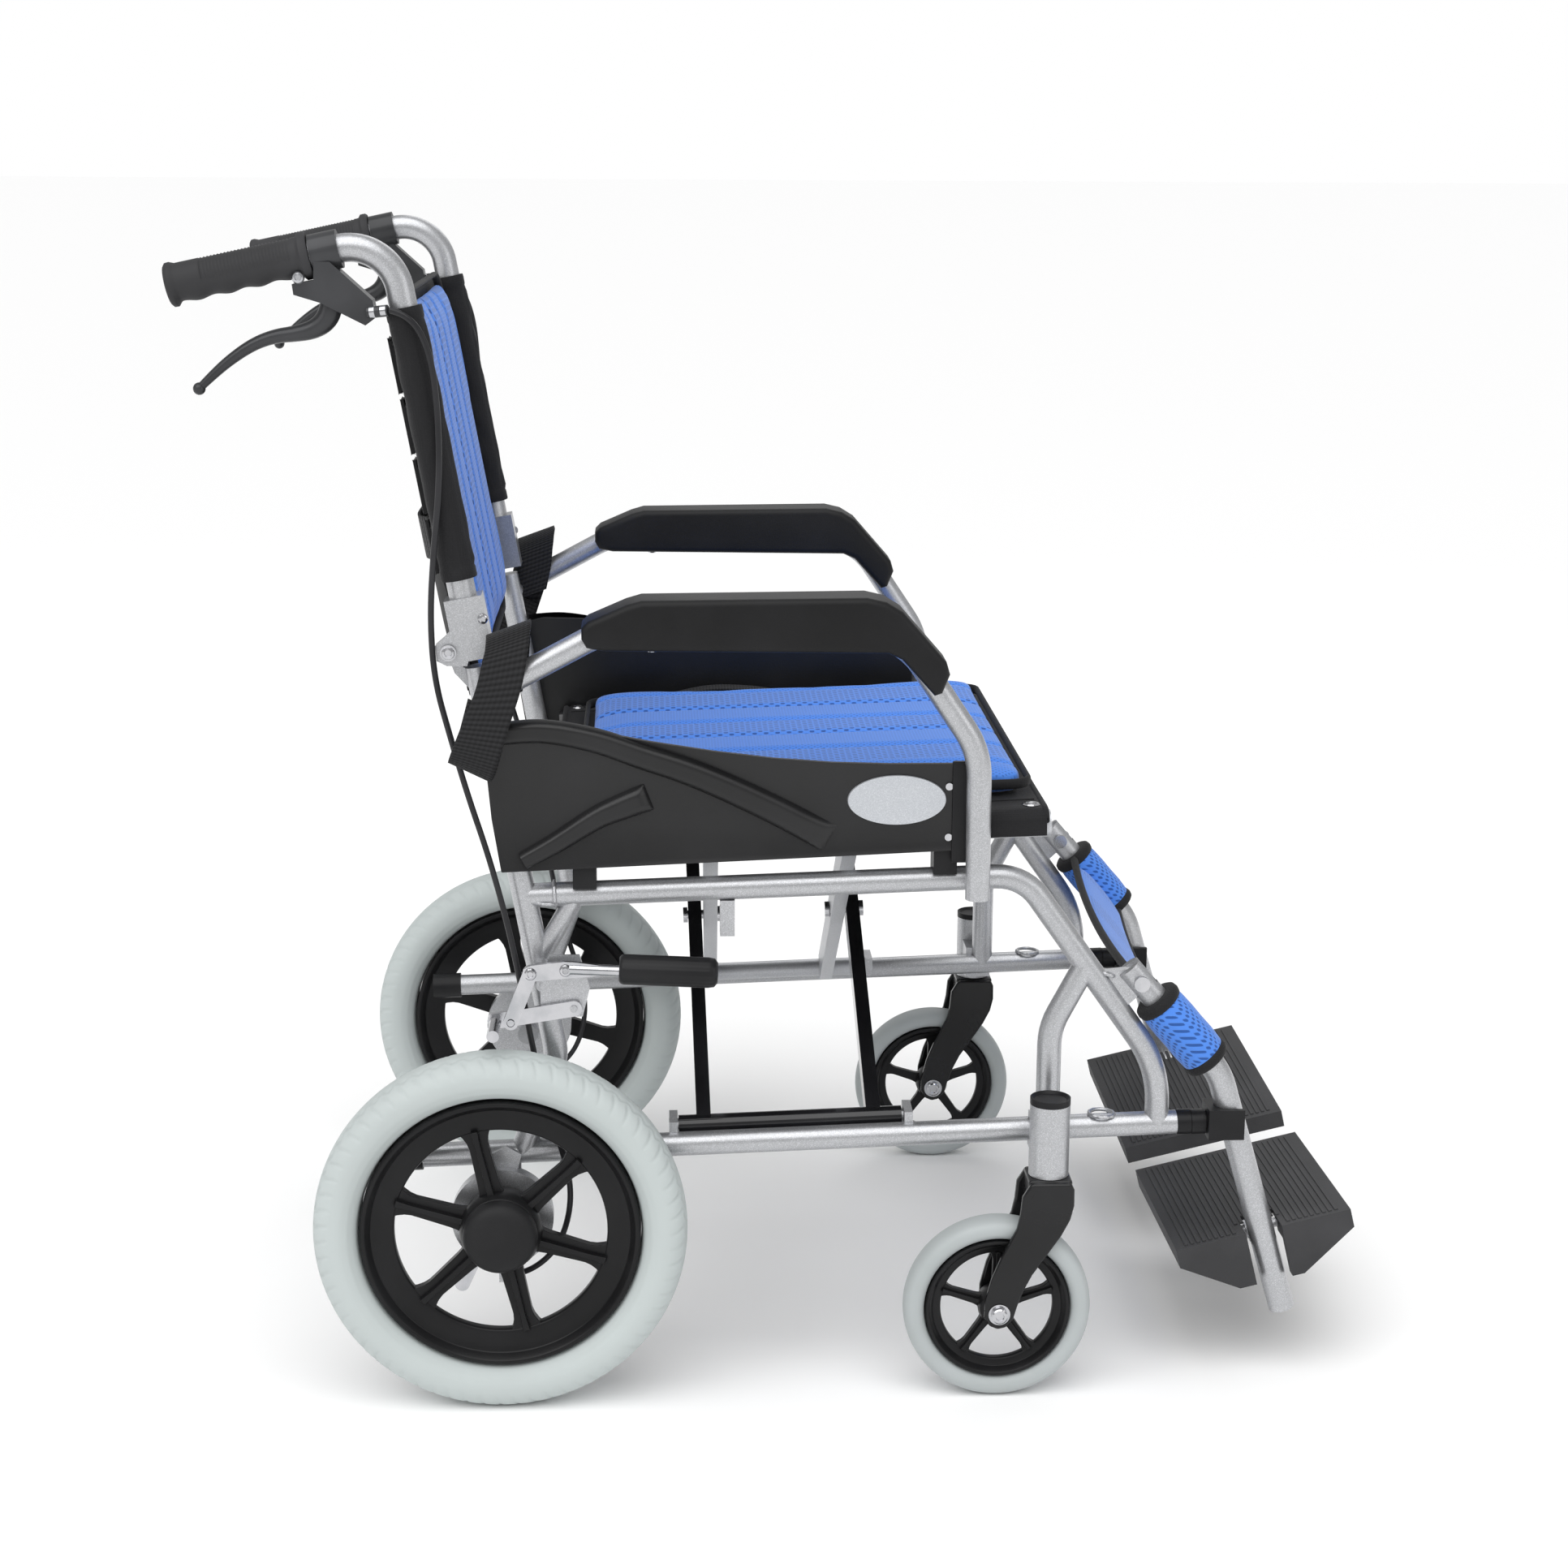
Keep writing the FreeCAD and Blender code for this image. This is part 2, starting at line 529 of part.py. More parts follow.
def brake_arm():
    near = -size("drum_y") - size("drum_thick") - 0.4
    return strap("right_brake_arm", (-22, 122), (-34, 96), near, 3, 12, ("lever_pin + 2 * running", None))


# ---------------------------------------------------------------- back canes
def back_cane():
    corner = at(post_x(size("cane_corner_z")), SIDE, size("cane_corner_z"))
    slope = math.radians(size("grip_slope"))
    rearward = V(-math.cos(slope), 0, -math.sin(slope))
    foot = at(post_x(size("cane_foot_z")), SIDE, size("cane_foot_z"))
    bar = bent_tube("cane_bar", "cane_tube",
                    [foot, corner, corner + rearward * (size("grip_start") + size("grip_length") - 6)],
                    [size("cane_bend")])
    sleeve = block("hinge_sleeve", "30", "26", "50", V(0, 0, 0))
    sleeve.Placement = FreeCAD.Placement(at(post_x(616) - 15, SIDE - 13, 616), turned(LEAN))
    ear = plate("hinge_ear", [(-44, 618), (-36, 614), (-20, 614), (-14, 640), (-24, 650), (-38, 636), (-45, 630)],
                SIDE - 1, "12")
    solid = joined("cane_solid", [bar, sleeve, ear])
    tools = joined("cane_tools", [
        cross_rod("ear_bore", "back_pin + 2 * running", size("back_pin_x"), size("back_pin_z"), SIDE + 14, SIDE - 20),
        cross_rod("ear_relief", "27", size("back_pin_x"), size("back_pin_z"), SIDE + 14, SIDE - 0.8)])
    return cut("right_back_cane", solid, tools)


def hand_grip():
    corner = at(post_x(size("cane_corner_z")), SIDE, size("cane_corner_z"))
    slope = math.radians(size("grip_slope"))
    rearward = V(-math.cos(slope), 0, -math.sin(slope))
    start = corner + rearward * size("grip_start")
    outer = rod("grip_outer", "grip_diameter", "grip_length", start, rearward)
    bore = rod("grip_bore", "cane_tube", "grip_length - 6", start, rearward)
    return cut("right_hand_grip", outer, bore)


LEVER_PIN = (-132, 909)


def lever_housing():
    corner = at(post_x(size("cane_corner_z")), SIDE, size("cane_corner_z"))
    slope = math.radians(size("grip_slope"))
    rearward = V(-math.cos(slope), 0, -math.sin(slope))
    collar = rod("housing_collar", "30", "22", corner + rearward * (size("grip_start") - 23), rearward)
    cheek = plate("housing_body", [(-147, 911), (-130.5, 914), (-130, 928), (-118, 928), (-86, 899), (-84, 886),
                                   (-92, 880), (-126, 897), (-146, 903)], SIDE + 6, "20")
    barrel = rod("barrel_adjuster", "9", "16", at(-90, SIDE - 12, 889.6), V(1, -0.2, 0.12))
    pin = cross_rod("lever_pivot", "5", *LEVER_PIN, SIDE + 6.8, SIDE - 6.8)
    solid = joined("housing_solid", [collar, cheek, barrel])
    foot = at(post_x(size("cane_foot_z")), SIDE, size("cane_foot_z"))
    tools = joined("housing_tools", [
        bent_tube("collar_bore", "cane_tube + slack", [foot, corner, corner + rearward * 150], [size("cane_bend")]),
        block("lever_slot", "42", "6.4", "40", at(-158, SIDE - 3.2, 886))])
    return joined("right_lever_housing", [cut("housing_open", solid, tools), pin])


def hand_lever():
    outline = [(-128, 914), (-126, 904), (-136, 897), (-160, 886), (-188, 876), (-208, 858), (-222, 832),
               (-230, 834), (-216, 868), (-196, 888), (-168, 899), (-146, 906), (-138, 914)]
    blade = plate("lever_blade", outline, SIDE + 2.8, "5.6")
    tip = doc.addObject("Part::Sphere", "lever_tip")
    tip.Radius = 7
    tip.Placement = FreeCAD.Placement(at(-226, SIDE, 831), FreeCAD.Rotation())
    bore = cross_rod("lever_bore", "5 + 2 * running", *LEVER_PIN, SIDE + 9, SIDE - 9)
    return cut("right_hand_lever", joined("lever_solid", [blade, tip]), bore)


def brake_cable():
    """The brake cable, from the barrel adjuster outside the cane and down behind the wheel to the drum."""
    route = [(-73.2, 248.6, 891.7), (-58, 251, 889), (-43, 251, 862), (-38, 250.4, 816), (-38, 250, 760), (-44, 250, 706),
             (-48, 250, 655), (-46, 250, 604), (-34, 250, 556), (-21, 250, 508), (-6, 250, 460), (8, 250, 404),
             (18, 249.8, 352), (26, 249.8, 300), (37, 249.8, 250), (50, 249.8, 208), (58, 249.8, 168),
             (48, 249.8, 126), (24, 249.8, 102), (10.2, 249.8, 99.8)]
    points = [at(along, -across, up) for along, across, up in route]
    bends = []
    for before, corner, after in zip(points, points[1:], points[2:]):
        turn = (corner - before).getAngle(after - corner)
        shorter = min((corner - before).Length, (after - corner).Length)
        bends.append(0.45 * shorter / math.tan(turn / 2))
    wire = path(points, bends)
    tube = swept("right_brake_cable", "cable", wire, points[1] - points[0])
    tube.recompute()
    expected = math.pi * (size("cable") / 2) ** 2 * wire.Length
    print("cable radii", [round(b) for b in bends], "length", round(wire.Length))
    return tube, expected


# ---------------------------------------------------------------- leg rests
def legrest_tube():
    top = V(size("leg_pin_x"), 0, size("leg_pin_z"))
    bend = V(size("leg_bend_x"), 0, size("leg_bend_z"))
    start = top + (top - bend).normalize() * 15
    bar = bent_tube("leg_bar", "leg_tube",
                    [at(start.x, SIDE, start.z), at(bend.x, SIDE, bend.z), at(size("leg_foot_x"), SIDE, size("leg_foot_z"))],
                    [size("mid_bend")])
    pitch = FreeCAD.Rotation(V(0, 1, 0), -size("plate_pitch"))
    axis = at(size("plate_axis_x"), -size("plate_axis_y"), size("plate_axis_z"))
    forward = pitch.multVec(V(1, 0, 0))
    knuckle = rod("plate_knuckle", "16", "24", axis - forward * 12, forward)
    saddle = block("plate_saddle", "22", "12", "14", V(0, 0, 0))
    saddle.Placement = FreeCAD.Placement(axis - forward * 11 + V(0, -12, 0) - pitch.multVec(V(0, 0, 7)), pitch)
    pin = rod("plate_hinge_pin", "plate_pin", "60", axis - forward * 30, forward)
    solid = joined("leg_solid", [bar, knuckle, saddle, pin])
    slot = joined("leg_slot", [block("leg_slot_end", "54", "8.8", "40", at(top.x - 44, SIDE - 4.4, top.z - 3)),
                               cross_rod("leg_slot_round", "29", top.x, top.z, SIDE + 4.4, SIDE - 4.4)])
    bore = cross_rod("leg_tube_bore", "leg_pin + 2 * running", top.x, top.z, SIDE + 20, SIDE - 20)
    return cut("right_legrest_tube", solid, joined("leg_tools", [slot, bore]))


def footplate():
    """A shell plate with a deep outer skirt, notched for the leg tube and bored for its hinge pin.

    It is drawn about its hinge pin, then pitched with the leg tube, its inner edge a little lower."""
    rear = size("plate_rear")
    front = size("plate_front")
    outer = size("plate_outer_y") - size("plate_axis_y")
    top = size("plate_above")
    slab = block("plate_slab", "plate_rear + plate_front", "plate_outer_y - plate_inner_y", "plate_deep",
                 V(-rear, -outer, top - size("plate_deep")))
    hollow = block("plate_hollow", "plate_rear + plate_front - 8", "plate_outer_y - plate_inner_y - 16",
                   "plate_deep", V(-rear + 4, -outer + 12, top - size("plate_skin") - size("plate_deep")))
    skirt = plate("plate_skirt", [(-rear, top - 16), (-rear, top), (front, top), (front, top - 16),
                                  (26, top - 46), (-30, top - 46)], -outer + 12, "12", None)
    lugs = [block("plate_lug_%d" % n, "14", "24", "17", V(start, -outer + 11, top - 17))
            for n, start in enumerate((-30, 16))]
    notch = block("plate_notch", "31", "plate_outer_y - plate_axis_y + 12", "90", V(-15.5, -outer - 1, -60))
    bore = rod("plate_bore", "plate_pin + 2 * running", "140", V(-70, 0, 0), V(1, 0, 0))
    solid = joined("plate_solid", [cut("plate_shell", slab, hollow), skirt] + lugs)
    whole = cut("right_footplate", solid, joined("plate_tools", [notch, bore]))
    pitch = FreeCAD.Rotation(V(0, 1, 0), -size("plate_pitch"))
    droop = FreeCAD.Rotation(V(1, 0, 0), -size("plate_droop"))
    whole.Placement = FreeCAD.Placement(at(size("plate_axis_x"), -size("plate_axis_y"), size("plate_axis_z")),
                                        pitch.multiply(droop))
    return whole


def legrest_stay():
    """A two-collar stub in the lower rail's front end, with a saddle that the leg tube leans into."""
    front = size("lower_rail_front")
    up = rail_z("lower_rail_z", front)
    collars = [rod("stay_collar_%d" % n, "frame_tube + 1", "11.6", at(front + 0.2 + 12 * n, SIDE, up), V(1, 0, SLOPE))
               for n in range(2)]
    neck = rod("stay_neck", "frame_tube - 4", "30", at(front + 0.2, SIDE, up), V(1, 0, SLOPE))
    saddle = block("stay_saddle", "30", "32", "26", at(front + 25, SIDE - 16, up - 11))
    whole = joined("stay_solid", collars + [neck, saddle])
    leg = rod("stay_groove", "leg_tube + 2 * slack", "90", at(size("leg_bend_x") - 5, SIDE, 280.9), V(0.2841, 0, -0.9588))
    ahead = block("stay_mouth", "40", "leg_tube + 2 * slack", "60", at(609, SIDE - 11.4, up - 30))
    return cut("right_legrest_stay", whole, joined("stay_tools", [leg, ahead]))


def belt():
    """The lap belt's end, hung over the rear of the armrest tube."""
    side = -size("armrest_y")
    outline = [(-3, 633), (30, 645), (36, 630), (32, 614), (4, 556), (-14, 531), (-33, 573), (-20, 592)]
    outer = plate("belt_outer", outline, side - 10.8, "2.4")
    bridge = plate("belt_bridge", [(-3, 633), (30, 645), (29, 648), (-4, 636)], side + 12, "24")
    inner = plate("belt_inner", [(-3, 633), (30, 645), (34, 630), (-8, 612)], side + 13.2, "2.4")
    return joined("right_belt", [outer, bridge, inner])


for node, maker in (("side_frame", side_frame), ("armrest_tube", armrest_tube), ("arm_pad", arm_pad),
                    ("side_panel", side_panel), ("frame_caps", frame_caps), ("frame_bolts", frame_bolts),
                    ("rear_rim", rear_rim), ("castor_rim", castor_rim), ("castor_fork", castor_fork),
                    ("park_bracket", park_bracket), ("park_arm", park_arm), ("park_link", park_link),
                    ("park_lever", park_lever), ("brake_drum", brake_drum), ("brake_arm", brake_arm),
                    ("back_cane", back_cane), ("hand_grip", hand_grip), ("lever_housing", lever_housing),
                    ("hand_lever", hand_lever), ("legrest_tube", legrest_tube), ("footplate", footplate),
                    ("legrest_stay", legrest_stay), ("belt", belt)):
    keep_pair(node, maker())
keep_pair("rear_tyre", tyre("rear_tyre_body", "wheel_radius", "rim_radius", "tyre_wide", 0, -size("wheel_y")))
keep_pair("castor_tyre", tyre("castor_tyre_body", "castor_radius", "castor_rim_radius", "castor_tyre_wide",
                              size("castor_x"), -size("castor_y")))
cable, cable_volume = brake_cable()
keep_pair("brake_cable", cable)


# ---------------------------------------------------------------- cross brace, seat and back
def tilt(piece):
    """Tip a piece drawn level about the brace's reference point, to the slope of the rails."""
    centre = at(size("rail_ref"), 0, size("hinge_z"))
    turn = FreeCAD.Placement(V(0, 0, 0), FreeCAD.Rotation(V(0, 1, 0), -size("rail_slope")), centre)
    piece.Placement = turn.multiply(piece.Placement)
    return piece


RISE = size("seat_rail_z") - size("hinge_z")
SPAN = size("hinge_y") + size("frame_y")
PIVOT_Z = size("hinge_z") + RISE * size("hinge_y") / SPAN


def brace(name, foot, middles):
    """Two struts from a hinge tube at y = foot to the seat rail across the chair; drawn level."""
    sign = -math.copysign(1, foot)
    direction = V(0, sign * SPAN, RISE)
    turn = FreeCAD.Rotation(V(1, 0, 0), -sign * math.degrees(math.atan2(SPAN, RISE)))
    struts = []
    for number, middle in enumerate(middles):
        strut = block("%s_strut_%d" % (name, number), "brace_wide", "brace_deep", "brace_wide", V(0, 0, 0))
        strut.setExpression("Height", None)
        strut.Height = direction.Length
        offset = turn.multVec(V(-size("brace_wide") / 2, -size("brace_deep") / 2, 0))
        strut.Placement = FreeCAD.Placement(at(middle, foot, size("hinge_z")) + offset, turn)
        struts.append(strut)
    tube = rod(name + "_hinge", "hinge_tube", "187", at(146, foot, size("hinge_z")), V(1, 0, 0))
    rail = rod(name + "_rail", "seat_rail_tube", "seat_rail_front - seat_rail_rear",
               at(size("seat_rail_rear"), foot + direction.y, size("seat_rail_z")), V(1, 0, 0))
    bores = [rod(name + "_bore", "hinge_tube - 5 + 2 * running", "220", at(130, foot, size("hinge_z")), V(1, 0, 0))]
    grip = "pivot_bolt" if foot < 0 else "pivot_bolt + 2 * running"
    bores += [rod("%s_hole_%d" % (name, number), grip, "30", at(middle - 15, 0, PIVOT_Z), V(1, 0, 0))
              for number, middle in enumerate(middles)]
    return tilt(cut(name, joined(name + "_solid", struts + [tube, rail]), joined(name + "_bores", bores)))


rear_x = size("brace_rear_x")
front_x = size("brace_front_x")
gap = size("brace_gap")
keep("cross_brace_black", brace("black", -size("hinge_y"), (rear_x, front_x)))
keep("cross_brace_silver", brace("silver", size("hinge_y"), (rear_x + gap, front_x - gap)))
bolts = []
for number, middle in enumerate((rear_x + gap / 2, front_x - gap / 2)):
    bolts.append(joined("pivot_%d" % number, [
        rod("pivot_shank_%d" % number, "pivot_bolt", "34", at(middle - 17, 0, PIVOT_Z), V(1, 0, 0)),
        rod("pivot_head_%d" % number, "pivot_bolt + 6", "4", at(middle - 17.4, 0, PIVOT_Z), V(1, 0, 0)),
        rod("pivot_nut_%d" % number, "pivot_bolt + 6", "4", at(middle + 13.4, 0, PIVOT_Z), V(1, 0, 0))]))
keep("brace_pivot_bolts", tilt(group("brace_pivot_bolts", bolts)))

rail_top = size("seat_rail_z") + size("seat_rail_tube") / 2 + 0.5
keep("seat_sling", tilt(block("seat_sling", "sling_front - sling_rear", "2 * 245", "sling_thick",
                              at(size("sling_rear"), -245, rail_top))))
keep("seat_cushion", tilt(block("seat_cushion", "cushion_front - cushion_rear", "2 * cushion_half", "cushion_thick",
                                at(size("cushion_rear"), -size("cushion_half"), rail_top + size("sling_thick") + 0.4))))


def lean_block(name, ahead, thickness, half, low, high):
    """A slab parallel to the back canes, ahead of their centre line, between two heights."""
    slab = block(name, thickness, "2 * (%s)" % half, "(%s) / %r" % (high + " - " + low, LEAN.z), V(0, 0, 0))
    foot = size(low) if low in SIZES else float(low)
    wide = slab.Width.Value / 2
    turn = turned(LEAN)
    slab.Placement = FreeCAD.Placement(at(post_x(foot), -wide, foot) + turn.multVec(V(ahead, 0, 0)), turn)
    return slab


def back_sling():
    sheet_part = lean_block("sling_sheet", -13, "back_sling_thick", "frame_y - 3",
                            "sleeve_foot_z", "sleeve_top_z")
    pouch = lean_block("sling_pouch", -36, "25", "150", "570", "730")
    sleeves = []
    bores = []
    for number, side in enumerate((-1, 1)):
        foot = at(post_x(size("sleeve_foot_z")), side * size("frame_y"), size("sleeve_foot_z"))
        sleeves.append(rod("sling_sleeve_%d" % number, "cane_tube + 0.6 + 2 * sleeve_wall",
                           "(sleeve_top_z - sleeve_foot_z) / %r" % LEAN.z, foot, LEAN))
        bores.append(rod("sling_bore_%d" % number, "cane_tube + 0.6", "400", foot - LEAN * 60, LEAN))
    return cut("back_sling", joined("back_sling_solid", [sheet_part, pouch] + sleeves), joined("sling_bores", bores))


keep("back_sling", back_sling())
keep("back_cushion", lean_block("back_cushion", -9.6, "back_cushion_thick", "back_cushion_half",
                                "back_cushion_foot", "back_cushion_top"))


def calf_strap():
    """A padded band with a sleeve round each leg tube."""
    top = V(size("leg_pin_x"), 0, size("leg_pin_z"))
    down = (V(size("leg_bend_x"), 0, size("leg_bend_z")) - top).normalize()
    sleeves = []
    bores = []
    for number, side in enumerate((-1, 1)):
        start = top + down * 22
        sleeves.append(rod("calf_sleeve_%d" % number, "leg_tube + 16", "70",
                           at(start.x, side * size("frame_y"), start.z), down))
        bores.append(rod("calf_bore_%d" % number, "leg_tube + 0.8", "130",
                         at(start.x, side * size("frame_y"), start.z) - down * 30, down))
    turn = turned(down)
    start = top + down * 22
    band = block("calf_band", "7", "2 * (frame_y - leg_tube / 2 - 4)", "70", V(0, 0, 0))
    band.Placement = FreeCAD.Placement(at(start.x, -band.Width.Value / 2, start.z) + turn.multVec(V(-12, 0, 0)), turn)
    return cut("calf_strap", joined("calf_solid", sleeves + [band]), joined("calf_bores", bores))


keep("calf_strap", calf_strap())

# ---------------------------------------------------------------- check and write
doc.recompute()
for thing in doc.Objects:
    if "Invalid" in thing.State or "Error" in thing.State:
        raise RuntimeError("failed object %s %s" % (thing.Name, thing.State))
for node, piece in SUBPARTS.items():
    if piece.Shape.isNull() or not piece.Shape.isValid() or not piece.Shape.Solids:
        raise RuntimeError("bad shape " + node)
print("cable volume", round(cable.Shape.Volume), "of", round(cable_volume))
os.makedirs("parts", exist_ok=True)
for node, piece in SUBPARTS.items():
    piece.Shape.exportStep("parts/%s.step" % node)
box = FreeCAD.BoundBox()
for piece in SUBPARTS.values():
    box.add(piece.Shape.BoundBox)
print("nodes", len(SUBPARTS), "box", [round(n, 2) for n in (box.XMin, box.XMax, box.YMin, box.YMax, box.ZMin, box.ZMax)])
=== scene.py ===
import bpy, bmesh
from math import atan2, cos, hypot, pi, radians, sin, sqrt, tau
from mathutils import Matrix, Vector


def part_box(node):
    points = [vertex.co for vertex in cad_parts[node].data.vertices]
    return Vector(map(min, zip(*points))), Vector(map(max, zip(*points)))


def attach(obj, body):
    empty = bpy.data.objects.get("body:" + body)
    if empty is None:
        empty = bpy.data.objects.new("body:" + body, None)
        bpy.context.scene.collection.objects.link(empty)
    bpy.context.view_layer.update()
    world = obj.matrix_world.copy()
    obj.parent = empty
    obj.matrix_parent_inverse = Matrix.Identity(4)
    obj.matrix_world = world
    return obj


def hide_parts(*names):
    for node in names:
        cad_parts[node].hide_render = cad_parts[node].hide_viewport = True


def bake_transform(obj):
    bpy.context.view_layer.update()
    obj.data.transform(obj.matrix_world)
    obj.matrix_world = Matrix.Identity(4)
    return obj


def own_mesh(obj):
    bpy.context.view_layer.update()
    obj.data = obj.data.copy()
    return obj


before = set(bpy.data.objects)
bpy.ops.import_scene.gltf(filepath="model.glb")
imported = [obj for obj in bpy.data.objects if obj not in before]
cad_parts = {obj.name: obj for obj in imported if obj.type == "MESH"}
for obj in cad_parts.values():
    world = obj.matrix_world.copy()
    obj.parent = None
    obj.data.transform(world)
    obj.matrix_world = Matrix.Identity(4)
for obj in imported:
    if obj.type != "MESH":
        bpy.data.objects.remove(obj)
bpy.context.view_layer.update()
scene = bpy.context.scene
SIDES = ("right", "left")
OUTBOARD = (0, -1, 0)
FRAME_Y = 233
tyre_low, tyre_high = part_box("right_rear_tyre")
REAR_AXLE = (tyre_low.x + tyre_high.x) / 2


# Helpers that the sections share: places in millimetres, objects, and shader nodes.
# A right-hand piece is built at negative distances across, and its mirror image is the left one.
def at(along, across, up):
    """The point that many millimetres ahead of the rear axle, to the user's left, and above the floor."""
    return Vector((REAR_AXLE + along / 1000, across / 1000, up / 1000))


def spun(degrees, axis):
    """A turn about an axis."""
    return Matrix.Rotation(radians(degrees), 4, axis)


def add_object(name, data):
    """Put some data in the scene as an object."""
    made = bpy.data.objects.new(name, data)
    scene.collection.objects.link(made)
    return made


def mesh_now(piece):
    """The mesh of an object as its curve or modifiers shape it."""
    bpy.context.view_layer.update()
    return bpy.data.meshes.new_from_object(piece.evaluated_get(bpy.context.evaluated_depsgraph_get()))


def feed(tree, socket, value):
    """Give an input a plain value, or join another node's output to it."""
    if isinstance(value, bpy.types.NodeSocket):
        tree.links.new(value, socket)
    else:
        socket.default_value = value


def add_node(tree, kind, **feeds):
    """A shader node with its inputs fed; an underscore in an input's name stands for a space."""
    node = tree.nodes.new("ShaderNode" + kind)
    for label, value in feeds.items():
        feed(tree, node.inputs[label.replace("_", " ")], value)
    return node


def step(tree, operation, *values):
    """A Math node fed by sockets or plain numbers; gives its output."""
    node = add_node(tree, "Math")
    node.operation = operation
    for socket, value in zip(node.inputs, values):
        feed(tree, socket, value)
    return node.outputs[0]


def blend_colours(tree, share, first, second):
    """A colour Mix node; gives its output."""
    node = add_node(tree, "Mix")
    node.data_type = "RGBA"
    for place, value in ((0, share), (6, first), (7, second)):
        feed(tree, node.inputs[place], value)
    return node.outputs[2]


def new_finish(name, colour, roughness, metallic=0.0, specular=0.5, coat=0.0, coat_roughness=0.1, sheen=0.0):
    """A material of one Principled shader with its plain values set, ready for its patterns."""
    finish = bpy.data.materials.new(name)
    finish.use_nodes = True
    shader = finish.node_tree.nodes["Principled BSDF"]
    for socket, value in (("Base Color", (*colour, 1)), ("Roughness", roughness), ("Metallic", metallic),
                          ("Specular IOR Level", specular), ("Coat Weight", coat), ("Coat Roughness", coat_roughness),
                          ("Sheen Weight", sheen)):
        shader.inputs[socket].default_value = value
    return finish


# The studio: the chair stands on a white paper sweep under wide, soft lamps.
# The camera looks a little down on its right side, from 2.4 m away.
CAMERA_YAW, CAMERA_DIP, CAMERA_ROLL = -2.745, 13.397, 0.319
camera_data = bpy.data.cameras.new("studio_camera")
camera_data.lens = 62.77
camera_data.sensor_width = 36
camera = add_object("studio_camera", camera_data)
camera.matrix_world = (Matrix.Translation(at(128.9, -2378.9, 1025.4)) @ spun(CAMERA_YAW, "Z")
                       @ spun(90 - CAMERA_DIP, "X") @ spun(CAMERA_ROLL, "Z"))
scene.camera = camera
scene.view_settings.view_transform = "Standard"

LAMP_AIM = Vector((0, 0, 0.35))
for lamp_name, spot, size, watts in (("lamp_front", (2.4, -1.9, 1.6), 1.6, 11),
                                     ("lamp_behind", (-2.3, -1.7, 2.0), 1.6, 10),
                                     ("lamp_far", (0.4, 2.4, 2.4), 1.8, 11)):
    lamp_data = bpy.data.lights.new(lamp_name, "AREA")
    lamp_data.size = size
    lamp_data.energy = watts
    lamp = add_object(lamp_name, lamp_data)
    lamp.location = spot
    lamp.rotation_euler = (LAMP_AIM - Vector(spot)).to_track_quat("-Z", "Y").to_euler()
skylight_data = bpy.data.lights.new("lamp_ceiling", "SUN")
skylight_data.energy = 2.15
skylight_data.angle = radians(70)
add_object("lamp_ceiling", skylight_data).rotation_euler = (radians(28), radians(-10), 0)

world = bpy.data.worlds.new("white_room")
scene.world = world
world.use_nodes = True
room = world.node_tree
seen = add_node(room, "LightPath")
fill = add_node(room, "MapRange", Value=seen.outputs["Is Camera Ray"], To_Min=0.46, To_Max=1.0)
feed(room, room.nodes["Background"].inputs["Color"], (1, 1, 1, 1))
feed(room, room.nodes["Background"].inputs["Strength"], fill.outputs["Result"])

sweep_mesh = bmesh.new()
bmesh.ops.create_grid(sweep_mesh, x_segments=1, y_segments=1, size=60)
paper_mesh = bpy.data.meshes.new("paper_sweep")
sweep_mesh.to_mesh(paper_mesh)
sweep_mesh.free()
paper_mesh.materials.append(new_finish("white_paper", (0.965, 0.965, 0.965), 0.85))
paper = add_object("paper_sweep", paper_mesh)


# The two brake cables: a steel wire in a black plastic sleeve 5 mm thick, from the lever's barrel adjuster,
# past the back hinge and down behind the axle to the drum.
CABLE_THICK = 0.005
CABLE_ROUTE = [(-73.2, 248.6, 891.7), (-58, 251, 889), (-43, 251, 862), (-38, 250.4, 816), (-38, 250, 760),
               (-44, 250, 706), (-48, 250, 655), (-46, 250, 604), (-34, 250, 556), (-21, 250, 508), (-6, 250, 460),
               (8, 250, 404), (18, 249.8, 352), (26, 249.8, 300), (37, 249.8, 250), (50, 249.8, 208),
               (58, 249.8, 168), (48, 249.8, 126), (24, 249.8, 102), (10.2, 249.8, 99.8)]


def new_effect(name, inputs, outputs):
    """An empty shader node group with its named sockets: (tree, what comes in, what goes out)."""
    tree = bpy.data.node_groups.new(name, "ShaderNodeTree")
    for label, kind, value in inputs:
        socket = tree.interface.new_socket(label, in_out="INPUT", socket_type="NodeSocket" + kind)
        if value is not None:
            socket.default_value = value
    for label, kind in outputs:
        tree.interface.new_socket(label, in_out="OUTPUT", socket_type="NodeSocket" + kind)
    return tree, tree.nodes.new("NodeGroupInput").outputs, tree.nodes.new("NodeGroupOutput").inputs


# moulded plastic: cloudy shade and gloss, with a fine pebbled grain
mould, mould_in, mould_out = new_effect(
    "moulded_surface",
    [("Vector", "Vector", None), ("Base", "Color", (0.05, 0.05, 0.05, 1)), ("Scuff", "Color", (0.1, 0.1, 0.1, 1)),
     ("Cloud Scale", "Float", 14.0), ("Grain Scale", "Float", 1400.0), ("Low Roughness", "Float", 0.35),
     ("High Roughness", "Float", 0.5)],
    [("Colour", "Color"), ("Roughness", "Float"), ("Height", "Float")])
cloud = add_node(mould, "TexNoise", Vector=mould_in["Vector"], Scale=mould_in["Cloud Scale"], Detail=5)
pebble = add_node(mould, "TexNoise", Vector=mould_in["Vector"], Scale=mould_in["Grain Scale"], Detail=2)
patch = add_node(mould, "MapRange", Value=cloud.outputs["Fac"], From_Min=0.42, From_Max=0.72)
